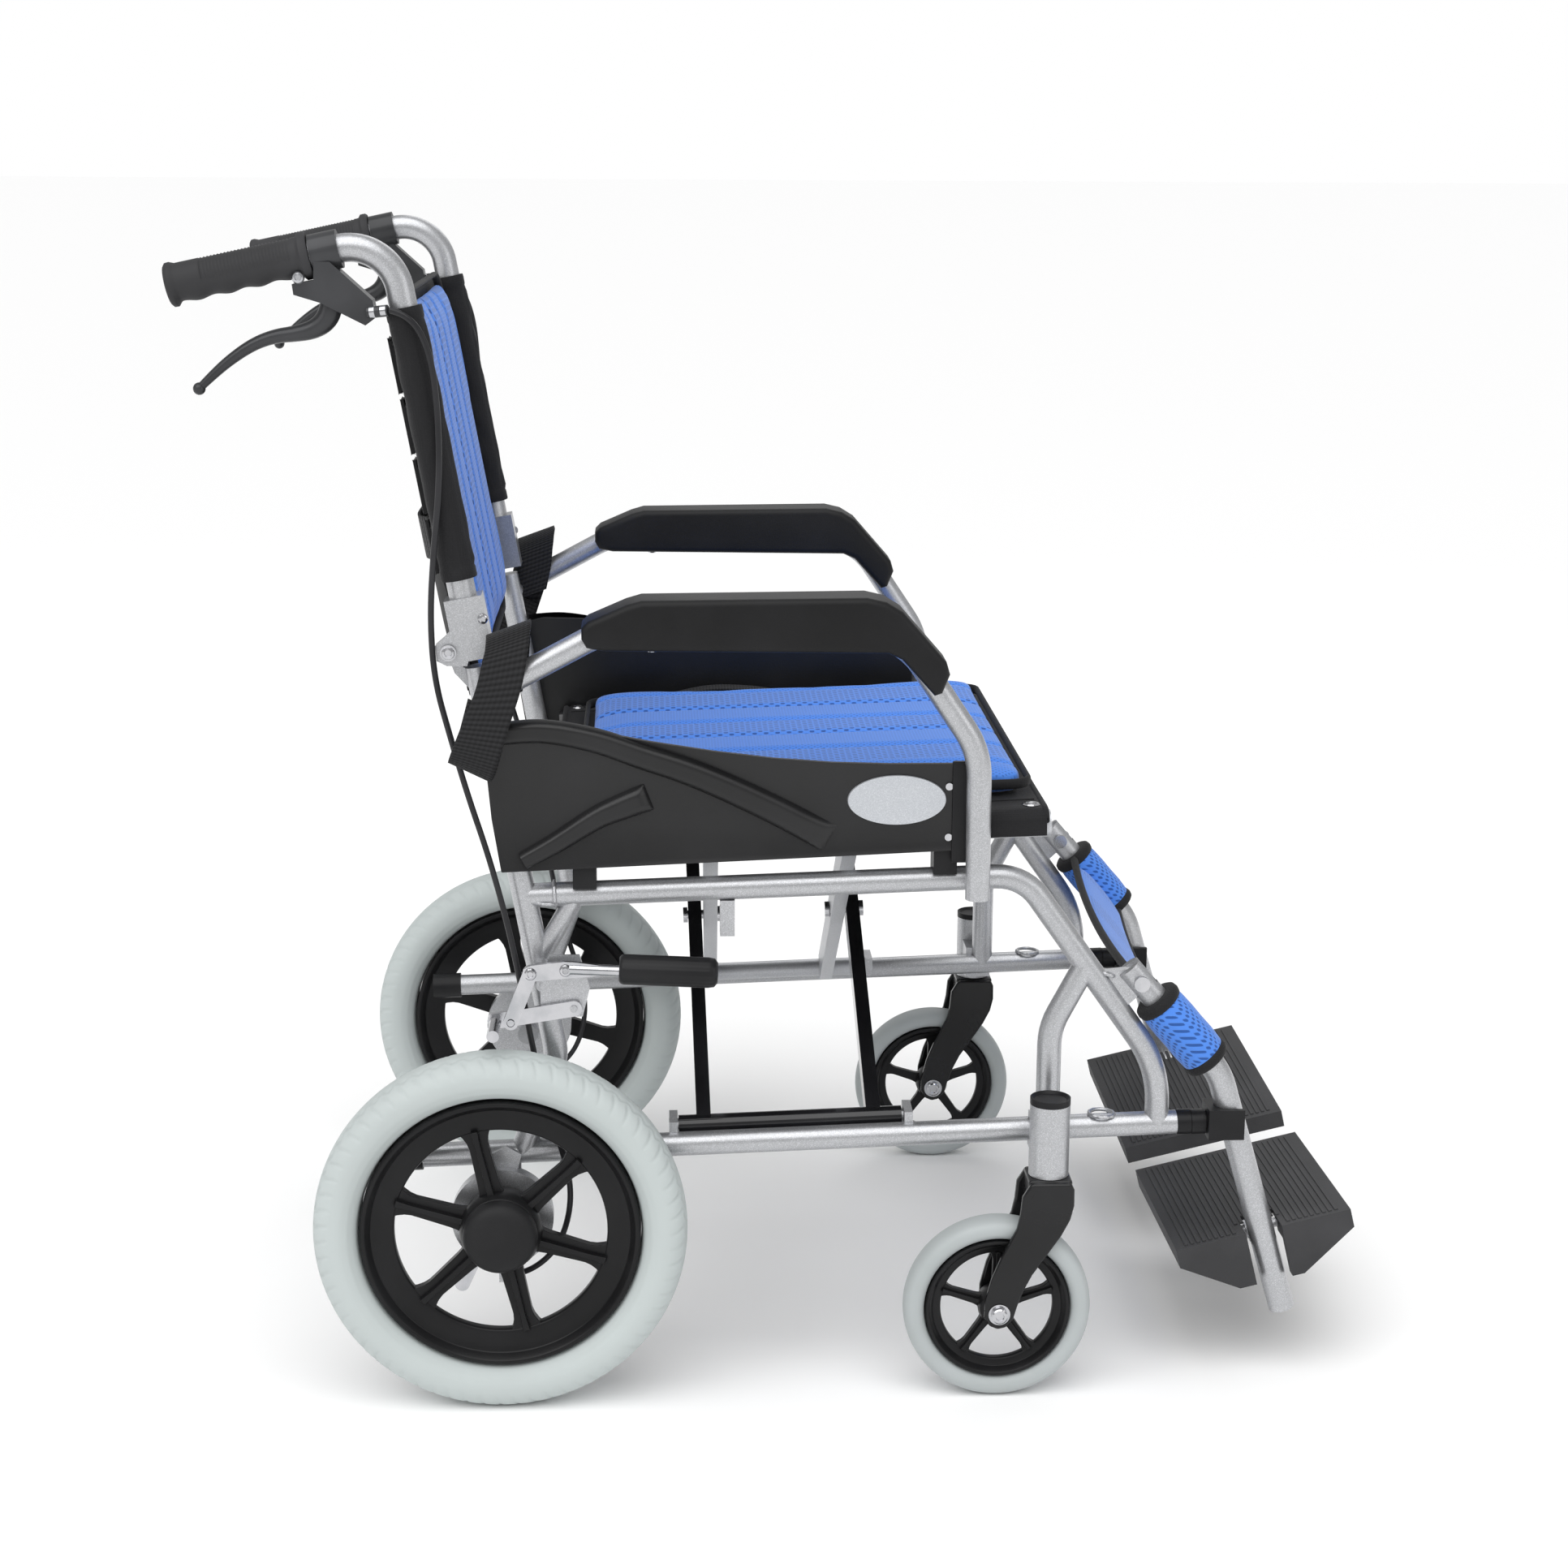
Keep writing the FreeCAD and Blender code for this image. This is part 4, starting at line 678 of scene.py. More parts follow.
slab(brackets, [(366.5, 452), (380.5, 452), (380.5, 536), (366.5, 536)], -248, -253)
show_pair("guard_bracket", brackets, fitting_black, "black_plastic", "frame", rounding=1.2)
ovals = bmesh.new()
oval = bmesh.ops.create_cone(ovals, cap_ends=True, segments=72, radius1=1, radius2=0.985, depth=0.0016)["verts"]
bmesh.ops.transform(ovals, matrix=Matrix.Translation(at(322, -250.2, 504)) @ Matrix.Rotation(radians(90), 4, "X")
                    @ Matrix.Diagonal((0.040, 0.0205, 1, 1)), verts=oval)
show_pair("blank_oval_plate", ovals, plate_silver, "frame_silver", "frame")


# The push handles: soft black rubber grips on the canes' ends, with finger waves below and fine ribs above,
# each behind a moulded lever housing.
GRIP_START, GRIP_END = 8.2, 105
grip_rubber = moulded("grip_rubber", (0.038, 0.038, 0.040), (0.05, 0.05, 0.053), 0.55, 0.7, grain=950.0, depth=0.00008)
lever_black = moulded("lever_black", (0.035, 0.036, 0.038), (0.055, 0.056, 0.06), 0.3, 0.42, grain=600.0,
                      depth=0.00003, metallic=0.25, coat=0.2)
REARWARD = Vector((-cos(radians(12.2)), 0, -sin(radians(12.2))))
CANE_CORNER = at(-73.2, -FRAME_Y, 945.7)
grips = bmesh.new()
profile = [(11.2, 0), (17.2, 0), (18.4, 1.5), (18.4, 6), (16, 8)] + [(15.6, 8.6 + n * 0.9) for n in range(106)] + [
    (16.2, 104.5), (17.2, 107), (17.0, 110), (15, 111.6), (9, 112), (0.01, 112)]
GRIP_MOUTH = CANE_CORNER + REARWARD * 0.062
turned(grips, profile + [(0.01, 0)], GRIP_MOUTH, REARWARD, 72)
for vert in grips.verts:
    arm = vert.co - GRIP_MOUTH
    run = arm.dot(REARWARD) * 1000
    out = arm - REARWARD * arm.dot(REARWARD)
    if out.length < 0.0145 or not GRIP_START < run < GRIP_END:
        continue
    down = -out.normalized().dot(Vector((REARWARD.z, 0, -REARWARD.x)))
    change = 0.0
    if down > 0:
        change = -1.9 * down * (0.5 + 0.5 * cos(tau * (run - 30) / 24)) * (1 if run > 14 else 0)
    if down < 0.25 and 12 < run < 84:
        change -= 0.75 * (0.5 + 0.5 * cos(tau * run / 2.7)) * min(1, (0.25 - down) * 4)
    vert.co += out.normalized() * change / 1000
show_pair("push_grip", grips, grip_rubber, "grip_rubber", "back", "hand_grip", crease=50)

LEVER_LINE = [(-118, 902, 8.4), (-119, 892, 9), (-124, 882, 8.6), (-134, 875.5, 7.4), (-148, 872.5, 6.2),
              (-162, 871, 5.5), (-177, 866, 5), (-192, 857, 4.5), (-208, 844.5, 3.9), (-221, 832, 3.2)]
levers = bmesh.new()
levers.from_mesh(line_mesh("lever", [at(x, -FRAME_Y, z) for x, z, _ in LEVER_LINE], 0.002,
                           [r for _, _, r in LEVER_LINE]))
ball = bmesh.ops.create_uvsphere(levers, u_segments=24, v_segments=14, radius=0.0049)["verts"]
bmesh.ops.translate(levers, vec=at(-222.5, -FRAME_Y, 830.5), verts=ball)
show_pair("brake_lever", levers, lever_black, "black_plastic", "hand_lever", "hand_lever", crease=60)
finish_nodes(lever_black, ".lever_housing")
barrels = bmesh.new()
turned(barrels, [(2.6, 0), (4.6, 0), (4.6, 4), (3.6, 4.6), (3.6, 8), (4.4, 8.6), (4.4, 13), (2.6, 13)],
       at(-88, -245.6, 889.9), (1, -0.2, 0.12), 32)
screw_head(barrels, at(-142, -246.2, 916), OUTBOARD, 5, 2.6)
show_pair("barrel_adjuster", barrels, chrome, "chrome", "back")


# The parking brake's levers: a pressed chrome plate on its pivot, a chrome tube, and a black rubber sleeve
# with ribs along its outer face.
PARK_AXIS = Vector((1, 0, -0.05)).normalized()
SLEEVE_MOUTH = at(98, -266.6, 369.1)
arms = bmesh.new()
slab(arms, [(26, 359), (31, 360), (56, 362), (82, 364), (84, 372.5), (62, 375.6), (54, 376), (27, 373), (21, 370),
            (20, 363)], -264.8, -268.4)
turned(arms, [(0.01, 0), (4.6, 0), (4.6, 48), (0.01, 48)], at(58, -266.6, 369.6), PARK_AXIS, 32)
for ahead, up in ((54.9, 368.8), (26.7, 366.0)):
    screw_head(arms, at(ahead, -268.4, up), OUTBOARD, 5.0, 2.6)
show_pair("park_lever_arm", arms, chrome, "chrome", "park_lever", "park_lever", rounding=0.6)
sleeves = bmesh.new()
turned(sleeves, [(4.6, 0), (9.5, 0), (11.6, 1.5), (12.4, 4), (12.4, 72), (11.6, 77), (8.5, 79.5), (0.01, 80),
                 (0.01, 6), (4.6, 6)], SLEEVE_MOUTH, PARK_AXIS, 64)
for vert in sleeves.verts:
    arm = vert.co - SLEEVE_MOUTH
    run = arm.dot(PARK_AXIS) * 1000
    height = (arm.z + 0.05 * arm.x) * 1000
    if 5 < run < 74 and arm.y < -0.004:
        vert.co.y += 0.0016 * groove((height + 7.5) % 3.75 - 1.9, 1.3) * min(1, (run - 5) / 4, (74 - run) / 4)
show_pair("park_grip", sleeves, fitting_black, "black_plastic", "park_lever", crease=50)


# The footplates: charcoal nylon trays on hinge pins at the leg tubes, with a deep outer skirt
# and fine anti-slip ribs across the top.
tray_grey = moulded("footplate_charcoal", (0.04, 0.04, 0.042), (0.055, 0.055, 0.058), 0.45, 0.6, grain=650.0,
                    depth=0.0001)
finish_nodes(tray_grey, ".footplate")
PLATE_TURN = Matrix.Translation(at(641, -213, 118)) @ spun(-13.6, "Y") @ spun(-3.4, "X")
INNER_EDGE = 178


def box(bm, placing, middle, size):
    """A box of that size in millimetres about a middle point, put in its place."""
    made = bmesh.ops.create_cube(bm, size=1)["verts"]
    bmesh.ops.transform(bm, matrix=placing @ Matrix.Translation(Vector(middle) / 1000)
                        @ Matrix.Diagonal((*(length / 1000 for length in size), 1)), verts=made)


treads = bmesh.new()
for number in range(26):
    ahead = -66 + number * 5.2
    outer_edge = -6 if -22 < ahead < 22 else -26
    box(treads, PLATE_TURN, (ahead, (INNER_EDGE + outer_edge) / 2, 8.2), (3.1, INNER_EDGE - outer_edge, 1.6))
show_pair("footplate_ribs", treads, tray_grey, "charcoal_plastic", "footplate", rounding=0.5)


# The fabrics: bright blue spacer mesh, knitted with rows of small openings and bands of larger ones, on the pads;
# and black woven nylon for the slings, sleeves, bindings and belts.
# The spacer mesh's openings are painted a darker blue: painted shade inside the knit, laid over the bump of the real
# holes.
knit, knit_in, knit_out = new_effect(
    "spacer_mesh",
    [("Along", "Float", 0.0), ("Across", "Float", 0.0), ("Thread", "Color", (0.05, 0.2, 0.7, 1)),
     ("Opening Shade", "Color", (0.01, 0.04, 0.2, 1)), ("Fine Pitch", "Float", 0.0032), ("Band Pitch", "Float", 0.12),
     ("Band Shift", "Float", 0.0)],
    [("Colour", "Color"), ("Height", "Float")])


def wave(tree, place, pitch, cycles=1.0):
    """A cosine along one direction, so many cycles to the pitch."""
    return step(tree, "COSINE", step(tree, "MULTIPLY", step(tree, "DIVIDE", place, pitch), tau * cycles))


def openings(pitch_share, sharp_low, sharp_high):
    """Staggered openings: the product of two waves, cut to soft-edged holes."""
    pitch = step(knit, "MULTIPLY", knit_in["Fine Pitch"], pitch_share)
    both = step(knit, "MULTIPLY", wave(knit, knit_in["Along"], pitch, 0.6), wave(knit, knit_in["Across"], pitch))
    hole = add_node(knit, "MapRange", Value=both, From_Min=sharp_low, From_Max=sharp_high)
    hole.interpolation_type = "SMOOTHSTEP"
    return hole.outputs["Result"]


fine_holes = step(knit, "MULTIPLY", openings(1.0, 0.25, 0.75), 0.6)
wide_holes = openings(1.9, 0.1, 0.55)
band_wave = wave(knit, step(knit, "ADD", knit_in["Across"], knit_in["Band Shift"]), knit_in["Band Pitch"])
band = add_node(knit, "MapRange", Value=band_wave, From_Min=0.05, From_Max=0.2).outputs["Result"]
hole_mask_and_shade = step(knit, "ADD", step(knit, "MULTIPLY", fine_holes, step(knit, "SUBTRACT", 1.0, band)),
                step(knit, "MULTIPLY", wide_holes, band))
# Painted shade: the hole mask blends the thread colour to the darker colour in the openings.
feed(knit, knit_out["Colour"], blend_colours(knit, hole_mask_and_shade, knit_in["Thread"], knit_in["Opening Shade"]))
feed(knit, knit_out["Height"], step(knit, "SUBTRACT", 1.0, hole_mask_and_shade))


def mesh_cloth(name, along, across, fine=0.0032, shift=0.0):
    """Blue spacer mesh whose rows run along one object axis and whose bands lie side by side on another."""
    thread = (0.075, 0.235, 0.74)
    finish = new_finish(name, thread, 0.78, specular=0.2, sheen=0.25)
    tree = finish.node_tree
    where = add_node(tree, "TexCoord")
    split = add_node(tree, "SeparateXYZ", Vector=where.outputs["Object"])
    node = tree.nodes.new("ShaderNodeGroup")
    node.node_tree = knit
    # The colour in the openings is the thread colour darkened: painted shade inside the knit.
    for label, value in (("Thread", (*thread, 1)), ("Opening Shade", (thread[0] * 0.3, thread[1] * 0.38,
                                                                thread[2] * 0.45, 1)),
                         ("Fine Pitch", fine), ("Band Shift", shift), ("Along", split.outputs[along]),
                         ("Across", split.outputs[across])):
        feed(tree, node.inputs[label], value)
    feed(tree, tree.nodes["Principled BSDF"].inputs["Base Color"], node.outputs["Colour"])
    raise_surface(finish, node.outputs["Height"], 0.0006, 0.7)
    return finish


seat_mesh = mesh_cloth("seat_mesh_cloth", "X", "Y")
back_mesh = mesh_cloth("back_mesh_cloth", "Z", "Y")
calf_mesh = mesh_cloth("calf_mesh_cloth", "Z", "Y", fine=0.0019, shift=0.03)
nylon, nylon_in, nylon_out = new_effect(
    "woven_nylon",
    [("Vector", "Vector", None), ("Yarn", "Color", (0.02, 0.02, 0.02, 1)), ("Worn", "Color", (0.04, 0.04, 0.04, 1)),
     ("Weave Scale", "Float", 800.0)],
    [("Colour", "Color"), ("Roughness", "Float"), ("Height", "Float")])
cell = add_node(nylon, "TexVoronoi", Vector=nylon_in["Vector"], Scale=nylon_in["Weave Scale"], Randomness=0.25)
rub = add_node(nylon, "TexNoise", Vector=nylon_in["Vector"], Scale=22, Detail=5).outputs["Fac"]
yarn_top = step(nylon, "SUBTRACT", 1.0, cell.outputs["Distance"])
feed(nylon, nylon_out["Colour"], blend_colours(nylon, step(nylon, "MULTIPLY", rub, yarn_top), nylon_in["Yarn"],
                                               nylon_in["Worn"]))
feed(nylon, nylon_out["Roughness"], step(nylon, "MULTIPLY_ADD", rub, 0.25, 0.58))
feed(nylon, nylon_out["Height"], yarn_top)
black_nylon = new_finish("black_nylon", (0.02, 0.02, 0.021), 0.7, specular=0.18, sheen=0.06)
place_effect(black_nylon, nylon, 0.00025, Yarn=(0.010, 0.010, 0.011, 1), Worn=(0.026, 0.026, 0.028, 1))


# The seat: a black nylon sling stretched over the two seat rails and riveted to them, and on it a thin crowned pad
# of blue mesh over foam, sewn in channels from back to front and bound in black tape.
SEAT_AXIS = at(250, 0, 219)
SEAT_TILT = Matrix.Translation(SEAT_AXIS) @ spun(-2, "Y") @ Matrix.Translation(-SEAT_AXIS)


def seat_at(along, across, up):
    """A point of the seat, which slopes 2 degrees down to the back."""
    return SEAT_TILT @ at(along, across, up)


def round_rectangle(share, half_long, half_wide, corner):
    """A point that share of the way round a rectangle with round corners, and the way out of it there."""
    flat_long, flat_wide, arc = half_long - corner, half_wide - corner, corner * pi / 2
    left = share % 1 * (4 * (flat_long + flat_wide + arc))
    for n, (run, turn) in enumerate(((2 * flat_wide, 0), (2 * flat_long, 90), (2 * flat_wide, 180),
                                     (2 * flat_long, 270))):
        out = Vector((cos(radians(turn)), sin(radians(turn))))
        way = Vector((-out.y, out.x))
        reach = (flat_long, flat_wide) if n % 2 == 0 else (flat_wide, flat_long)
        if left <= run:
            return out * (reach[0] + corner) + way * (left - reach[1]), out
        left -= run
        if left <= arc:
            bend = Vector((cos(radians(turn) + left / corner), sin(radians(turn) + left / corner)))
            return out * reach[0] + way * reach[1] + bend * corner, bend
        left -= arc
    return out * (reach[0] + corner), out


def thicken(piece, millimetres, offset=0.0):
    """Give a strap or sheet its thickness."""
    body = piece.modifiers.new("cloth_thickness", "SOLIDIFY")
    body.thickness = millimetres / 1000
    body.offset = offset
    return piece


def piping(name, half_long, half_wide, corner, tall, thick, placing):
    """The binding tape round a pad's edge: a flat oval tube on a rounded rectangle, then put in its place."""
    bm = bmesh.new()

    def place(t, s):
        spot, out = round_rectangle(t, half_long, half_wide, corner)
        reach = thick * cos(tau * s)
        return Vector((spot.x + out.x * reach, spot.y + out.y * reach, tall * sin(tau * s))) / 1000

    strip(bm, 260, 12, place)
    bmesh.ops.transform(bm, matrix=placing, verts=bm.verts)
    return make_mesh(name, bm, 60)


def bake(piece):
    """Apply a piece's modifiers to its mesh."""
    piece.data = mesh_now(piece)
    piece.modifiers.clear()


def stuffed(name, half_long, half_wide, half_thick, corner, pressure, most):
    """A foam pad in its sewn cover: a thin slab blown up a little with Cloth, no point moving further than most."""
    bm = bmesh.new()
    bmesh.ops.create_cube(bm, size=2)
    bmesh.ops.scale(bm, vec=Vector((half_long, half_wide, half_thick)) / 1000, verts=bm.verts)
    uprights = [e for e in bm.edges if abs(e.verts[0].co.z - e.verts[1].co.z) > 1e-5]
    bmesh.ops.bevel(bm, geom=uprights, offset=corner / 1000, segments=6, profile=0.5, affect="EDGES", material=-1)
    pad = add_object(name, make_mesh(name, bm))
    remesh = pad.modifiers.new("even_faces", "REMESH")
    remesh.mode = "VOXEL"
    remesh.voxel_size = 0.006
    bake(pad)
    start = [v.co.copy() for v in pad.data.vertices]
    cloth = pad.modifiers.new("stuffing", "CLOTH")
    cloth.settings.use_pressure = True
    cloth.settings.uniform_pressure_force = pressure
    cloth.settings.effector_weights.gravity = 0
    cloth.point_cache.frame_end = 20
    for number in range(1, 21):
        scene.frame_set(number)
    puffed = pad.evaluated_get(bpy.context.evaluated_depsgraph_get()).data
    ends = [v.co.copy() for v in puffed.vertices]
    pad.modifiers.remove(cloth)
    scene.frame_set(1)
    for vert, first, last in zip(pad.data.vertices, start, ends):
        move = last - first
        if move.length > most / 1000:
            move = move.normalized() * (most / 1000)
        vert.co = first + move
    pad.modifiers.new("finer", "SUBSURF").levels = 1
    bake(pad)
    mesh = pad.data
    bpy.data.objects.remove(pad)
    return mesh


def sew_channels(mesh, seams, deep, half_wide, edge):
    """Pull the cover down along its seams, on both faces, but not past the edge."""
    for vert in mesh.vertices:
        if abs(vert.co.x) * 1000 > edge:
            continue
        pull = max(groove(vert.co.y * 1000 - seam, half_wide) for seam in seams) * deep
        pull *= min(1, (edge - abs(vert.co.x) * 1000) / 12)
        vert.co.z -= (1 if vert.co.z > 0 else -1) * min(pull, abs(vert.co.z) * 800) / 1000


SEAT_PLACE = SEAT_TILT @ Matrix.Translation(at(260.5, 0, 498.6))
SEAT_SEAMS = (-162, -90, -30, 30, 90, 162)


def lay_pad(mesh, lowest, placing):
    """Keep a pad's underside off the sling, and put the pad in its place."""
    for vert in mesh.vertices:
        vert.co.z = max(vert.co.z, lowest / 1000)
    mesh.transform(placing)
    mesh.shade_smooth()


seat_pad_mesh = stuffed("seat_pad", 184, 198, 8.5, 16, 4.0, 5.0)
sew_channels(seat_pad_mesh, SEAT_SEAMS, 4.2, 9, 184)
lay_pad(seat_pad_mesh, -9.2, SEAT_PLACE)
seat_pad = show("seat_pad", seat_pad_mesh, seat_mesh, "blue_mesh", "seat", "seat_cushion")
seat_binding = show("seat_pad_binding", piping("seat_pad_binding", 186.5, 200.5, 17, 4.4, 2.2, SEAT_PLACE),
                    black_nylon, "black_fabric", "seat")
SLING_EDGE = [(245.3, 466), (245.4, 474), (244.6, 480.5), (240.5, 484.6), (234, 486), (222, 486), (150, 485.2)]
SLING_LINE = [(-y, z) for y, z in SLING_EDGE] + [(0, 484.4)] + SLING_EDGE[::-1]
SLING_REAR, SLING_LONG = 49.5, 404
sling = bmesh.new()


def sling_place(along, across):
    spot = through(SLING_LINE, across)
    pucker = 0.35 * sin(along * 41) * max(0, abs(spot[0]) - 205) / 40
    return seat_at(SLING_REAR + SLING_LONG * along, spot[0], spot[1] + (pucker if abs(spot[0]) < 240 else 0))


strip(sling, 70, 84, sling_place)
seat_sling = thicken(show_made("seat_sling_cloth", sling, black_nylon, "black_fabric", "seat", "seat_sling"), 1.6, 1)


def hem_place(t, s, along):
    spot = through(SLING_LINE, 0.1 + 0.8 * t)
    return seat_at(along + 2.6 * cos(tau * s), spot[0], spot[1] + 0.9 + 2.0 * sin(tau * s))


def seam_place(t, s, across):
    return seat_at(56 + 392 * t, across + 0.9 * cos(tau * s), 487.9 + 0.8 * sin(tau * s))


hems = bmesh.new()
for end in (51, 453.4):
    strip(hems, 60, 10, lambda t, s: hem_place(t, s, end))
for edge in (-211, 211):
    strip(hems, 120, 6, lambda t, s: seam_place(t, s, edge))
seat_hems = show_made("seat_sling_hems", hems, black_nylon, "black_fabric", "seat")
rivets = bmesh.new()
for outward in (-1, 1):
    for along in (62, 158, 254, 350, 443):
        where = seat_at(along, outward * 229, 487.4)
        turned(rivets, [(3.2, 0), (7.2, 0), (7.4, 0.9), (6.4, 1.8), (4.6, 1.8), (3.6, 1.0)], where, (0, 0, 1), 32)
        turned(rivets, [(0.01, 0), (3.3, 0), (3.3, 1.4), (2.2, 2.3), (0.01, 2.6)], where, (0, 0, 1), 24)
seat_rivets = show_made("seat_rivets", rivets, chrome, "chrome", "seat", crease=32)


# The pull strap: black webbing along the seat's left side, riveted at its front end.
# Lifting it folds the chair.
def webbing(name, line, wide, across_by, steps=60):
    """A flat strap along a line of points; across_by gives its width's direction at each share of the line."""
    bm = bmesh.new()
    layer = bm.loops.layers.uv.new("cloth")
    made = bmesh.ops.create_grid(bm, x_segments=steps, y_segments=10, size=1, calc_uvs=False)["verts"]
    for face in bm.faces:
        for loop in face.loops:
            loop[layer].uv = ((loop.vert.co.x + 1) / 2, (loop.vert.co.y + 1) / 2)
    for vert in made:
        t, s = (vert.co.x + 1) / 2, (vert.co.y + 1) / 2
        vert.co = through(line, t) + across_by(t) * (s - 0.5) * wide / 1000
    mesh = bpy.data.meshes.new(name)
    bm.to_mesh(mesh)
    bm.free()
    mesh.shade_smooth()
    return mesh


strap_black = new_finish("webbing_black", (0.018, 0.018, 0.019), 0.65, specular=0.18, sheen=0.08)
strap_tree = strap_black.node_tree
strap_uv = add_node(strap_tree, "UVMap")
strap_uv.uv_map = "cloth"
strap_split = add_node(strap_tree, "SeparateXYZ", Vector=strap_uv.outputs["UV"]).outputs
cord_wave = step(strap_tree, "SINE", step(strap_tree, "MULTIPLY", strap_split["X"], 520.0))
edge_wave = step(strap_tree, "SINE", step(strap_tree, "MULTIPLY", strap_split["Y"], tau * 9))
rib_height_and_shade = step(strap_tree, "MULTIPLY_ADD", edge_wave, 0.35, cord_wave)
# Painted shade: the colour follows the ribs' height, darker in the grooves between the cords and lighter on their
# raised tops.
feed(strap_tree, strap_tree.nodes["Principled BSDF"].inputs["Base Color"],
     blend_colours(strap_tree, step(strap_tree, "MULTIPLY_ADD", rib_height_and_shade, 0.35, 0.5), (0.006, 0.006, 0.0065, 1),
                   (0.026, 0.026, 0.028, 1)))
raise_surface(strap_black, rib_height_and_shade, 0.0004, 0.8)

PULL_Y = 214
pull_line = [seat_at(x, PULL_Y, z) for x, z in ((128, 490.5), (150, 498), (190, 505), (230, 503), (268, 496),
                                                (300, 491), (318, 490.5))]
pull_strap = thicken(show("seat_pull_strap", webbing("seat_pull_strap", pull_line, 21, lambda t: Vector((0, 1, 0))),
                          strap_black, "black_fabric", "seat"), 2.0)
pull_rivet = bmesh.new()
screw_head(pull_rivet, seat_at(306, PULL_Y, 491.4), (0, 0, 1), 6.5, 2.6)
seat_pull_rivet = show_made("seat_pull_rivet", pull_rivet, chrome, "chrome", "seat", crease=32)


# The backrest: a black nylon sling sewn into sleeves that slide on the two canes, with a pocket and tension straps
# behind, and a blue mesh pad in front sewn in upright channels.
def back_at(ahead, across, up):
    """A point that far ahead of the canes' centre line, at a height on it."""
    return at(-13 + 0.18043 * (612 - up), across, up) + Vector((0.98411, 0, 0.17756)) * ahead / 1000


BACK_UP = Vector((-0.17756, 0, 0.98411))
CANE_FOOT = back_at(0, -FRAME_Y, 682)
BACK_PLACE = (Matrix.Translation(back_at(-6.4, 0, 744.5))
              @ Matrix(((-0.17756, 0, 0.98411, 0), (0, -1, 0, 0), (0.98411, 0, 0.17756, 0), (0, 0, 0, 1))))
BACK_SEAMS = (-156, -84, -28, 28, 84, 156)
back_pad_mesh = stuffed("back_pad", 155, 189, 5.5, 26, 3.4, 6.0)
sew_channels(back_pad_mesh, BACK_SEAMS, 5.0, 10, 155)
lay_pad(back_pad_mesh, -4.2, BACK_PLACE)
back_pad = show("back_pad", back_pad_mesh, back_mesh, "blue_mesh", "right_back", "back_cushion")
back_binding = show("back_pad_binding", piping("back_pad_binding", 157.5, 191.5, 27, 3.6, 2.2, BACK_PLACE),
                    black_nylon, "black_fabric", "right_back")
backs = bmesh.new()


def back_place(share_up, share_across):
    up = 590 + 304 * share_up
    half = 230 if up > 684 else 213 + 17 * max(0, (up - 668) / 16)
    across = half * (2 * share_across - 1)
    belly = 1 - (2 * share_across - 1) ** 2
    return back_at(-12.8 - 5.5 * belly - 1.2 * sin(share_up * 9) * belly, across, up)


strip(backs, 60, 64, back_place)
back_sling = thicken(show_made("back_sling_cloth", backs, black_nylon, "black_fabric", "right_back", "back_sling"), 1.8)
sleeve_bm = bmesh.new()
turned(sleeve_bm, [(11.6, 0), (14.3, 0), (14.6, 1.2), (14.5, 8), (13.9, 9.4)] + [(13.7, 14 + 8 * n) for n in range(24)]
       + [(13.9, 204), (14.5, 206), (14.5, 212), (14.2, 214.6), (11.6, 214.6)], CANE_FOOT, BACK_UP, 40)
for vert in sleeve_bm.verts:
    arm = vert.co - CANE_FOOT
    run = arm.dot(BACK_UP) * 1000
    out = arm - BACK_UP * arm.dot(BACK_UP)
    if out.length > 0.0125 and 10 < run < 203:
        turn = atan2(out.x, out.y)
        vert.co += out.normalized() * 0.0006 * sin(run * 0.16 + 2.2 * sin(turn * 2)) * sin(turn + run * 0.02)
        if abs(turn - pi / 2) < 0.28:
            vert.co += out.normalized() * 0.0011
show_pair("back_sleeve", sleeve_bm, black_nylon, "black_fabric", "back", crease=50)
pocket = bmesh.new()


def pocket_place(share_up, share_across):
    u, v = 2 * share_across - 1, 2 * share_up - 1
    belly = (1 - u ** 4) * (1 - v ** 4)
    sag = 3 * sin(u * 5) * share_up
    return back_at(-18.5 - 6 * (1 - u * u) - 13 * belly, 148 * u, 574 + 154 * share_up - sag * belly)


strip(pocket, 40, 56, pocket_place)
back_pocket = thicken(show_made("back_pocket", pocket, black_nylon, "black_fabric", "right_back"), 2.2)
STRAP_HEIGHTS = (704, 752, 800, 848)
POCKET_TOP = 730
straps = []
buckles = bmesh.new()
for number, up in enumerate(STRAP_HEIGHTS):
    name = "back_tension_strap_%d" % number
    strap_line = [back_at(-15.4 - 8 * (1 - (y / 215) ** 2) - (13 if abs(y) < 120 and up < POCKET_TOP else 0), y, up)
                  for y in (-216, -190, -150, -110, -50, 0, 50, 110, 150, 190, 216)]
    straps.append(thicken(show(name, webbing(name, strap_line, 36, lambda t: BACK_UP, 90), strap_black,
                               "black_fabric", "right_back"), 2.0))
    for across in (-176, 176):
        buckle_place = Matrix.Translation(back_at(-20.5, across, up)) @ spun(-10.2, "Y")
        for bar_across, bar_up, wide, tall in ((-11, 0, 3, 44), (11, 0, 3, 44), (0, -20.5, 25, 3), (0, 20.5, 25, 3),
                                               (0, 0, 3, 42)):
            box(buckles, buckle_place, (0, bar_across, bar_up), (3.4, wide, tall))
back_buckles = show_made("back_buckles", buckles, fitting_black, "black_plastic", "right_back", crease=32)
soften(back_buckles, 0.8)


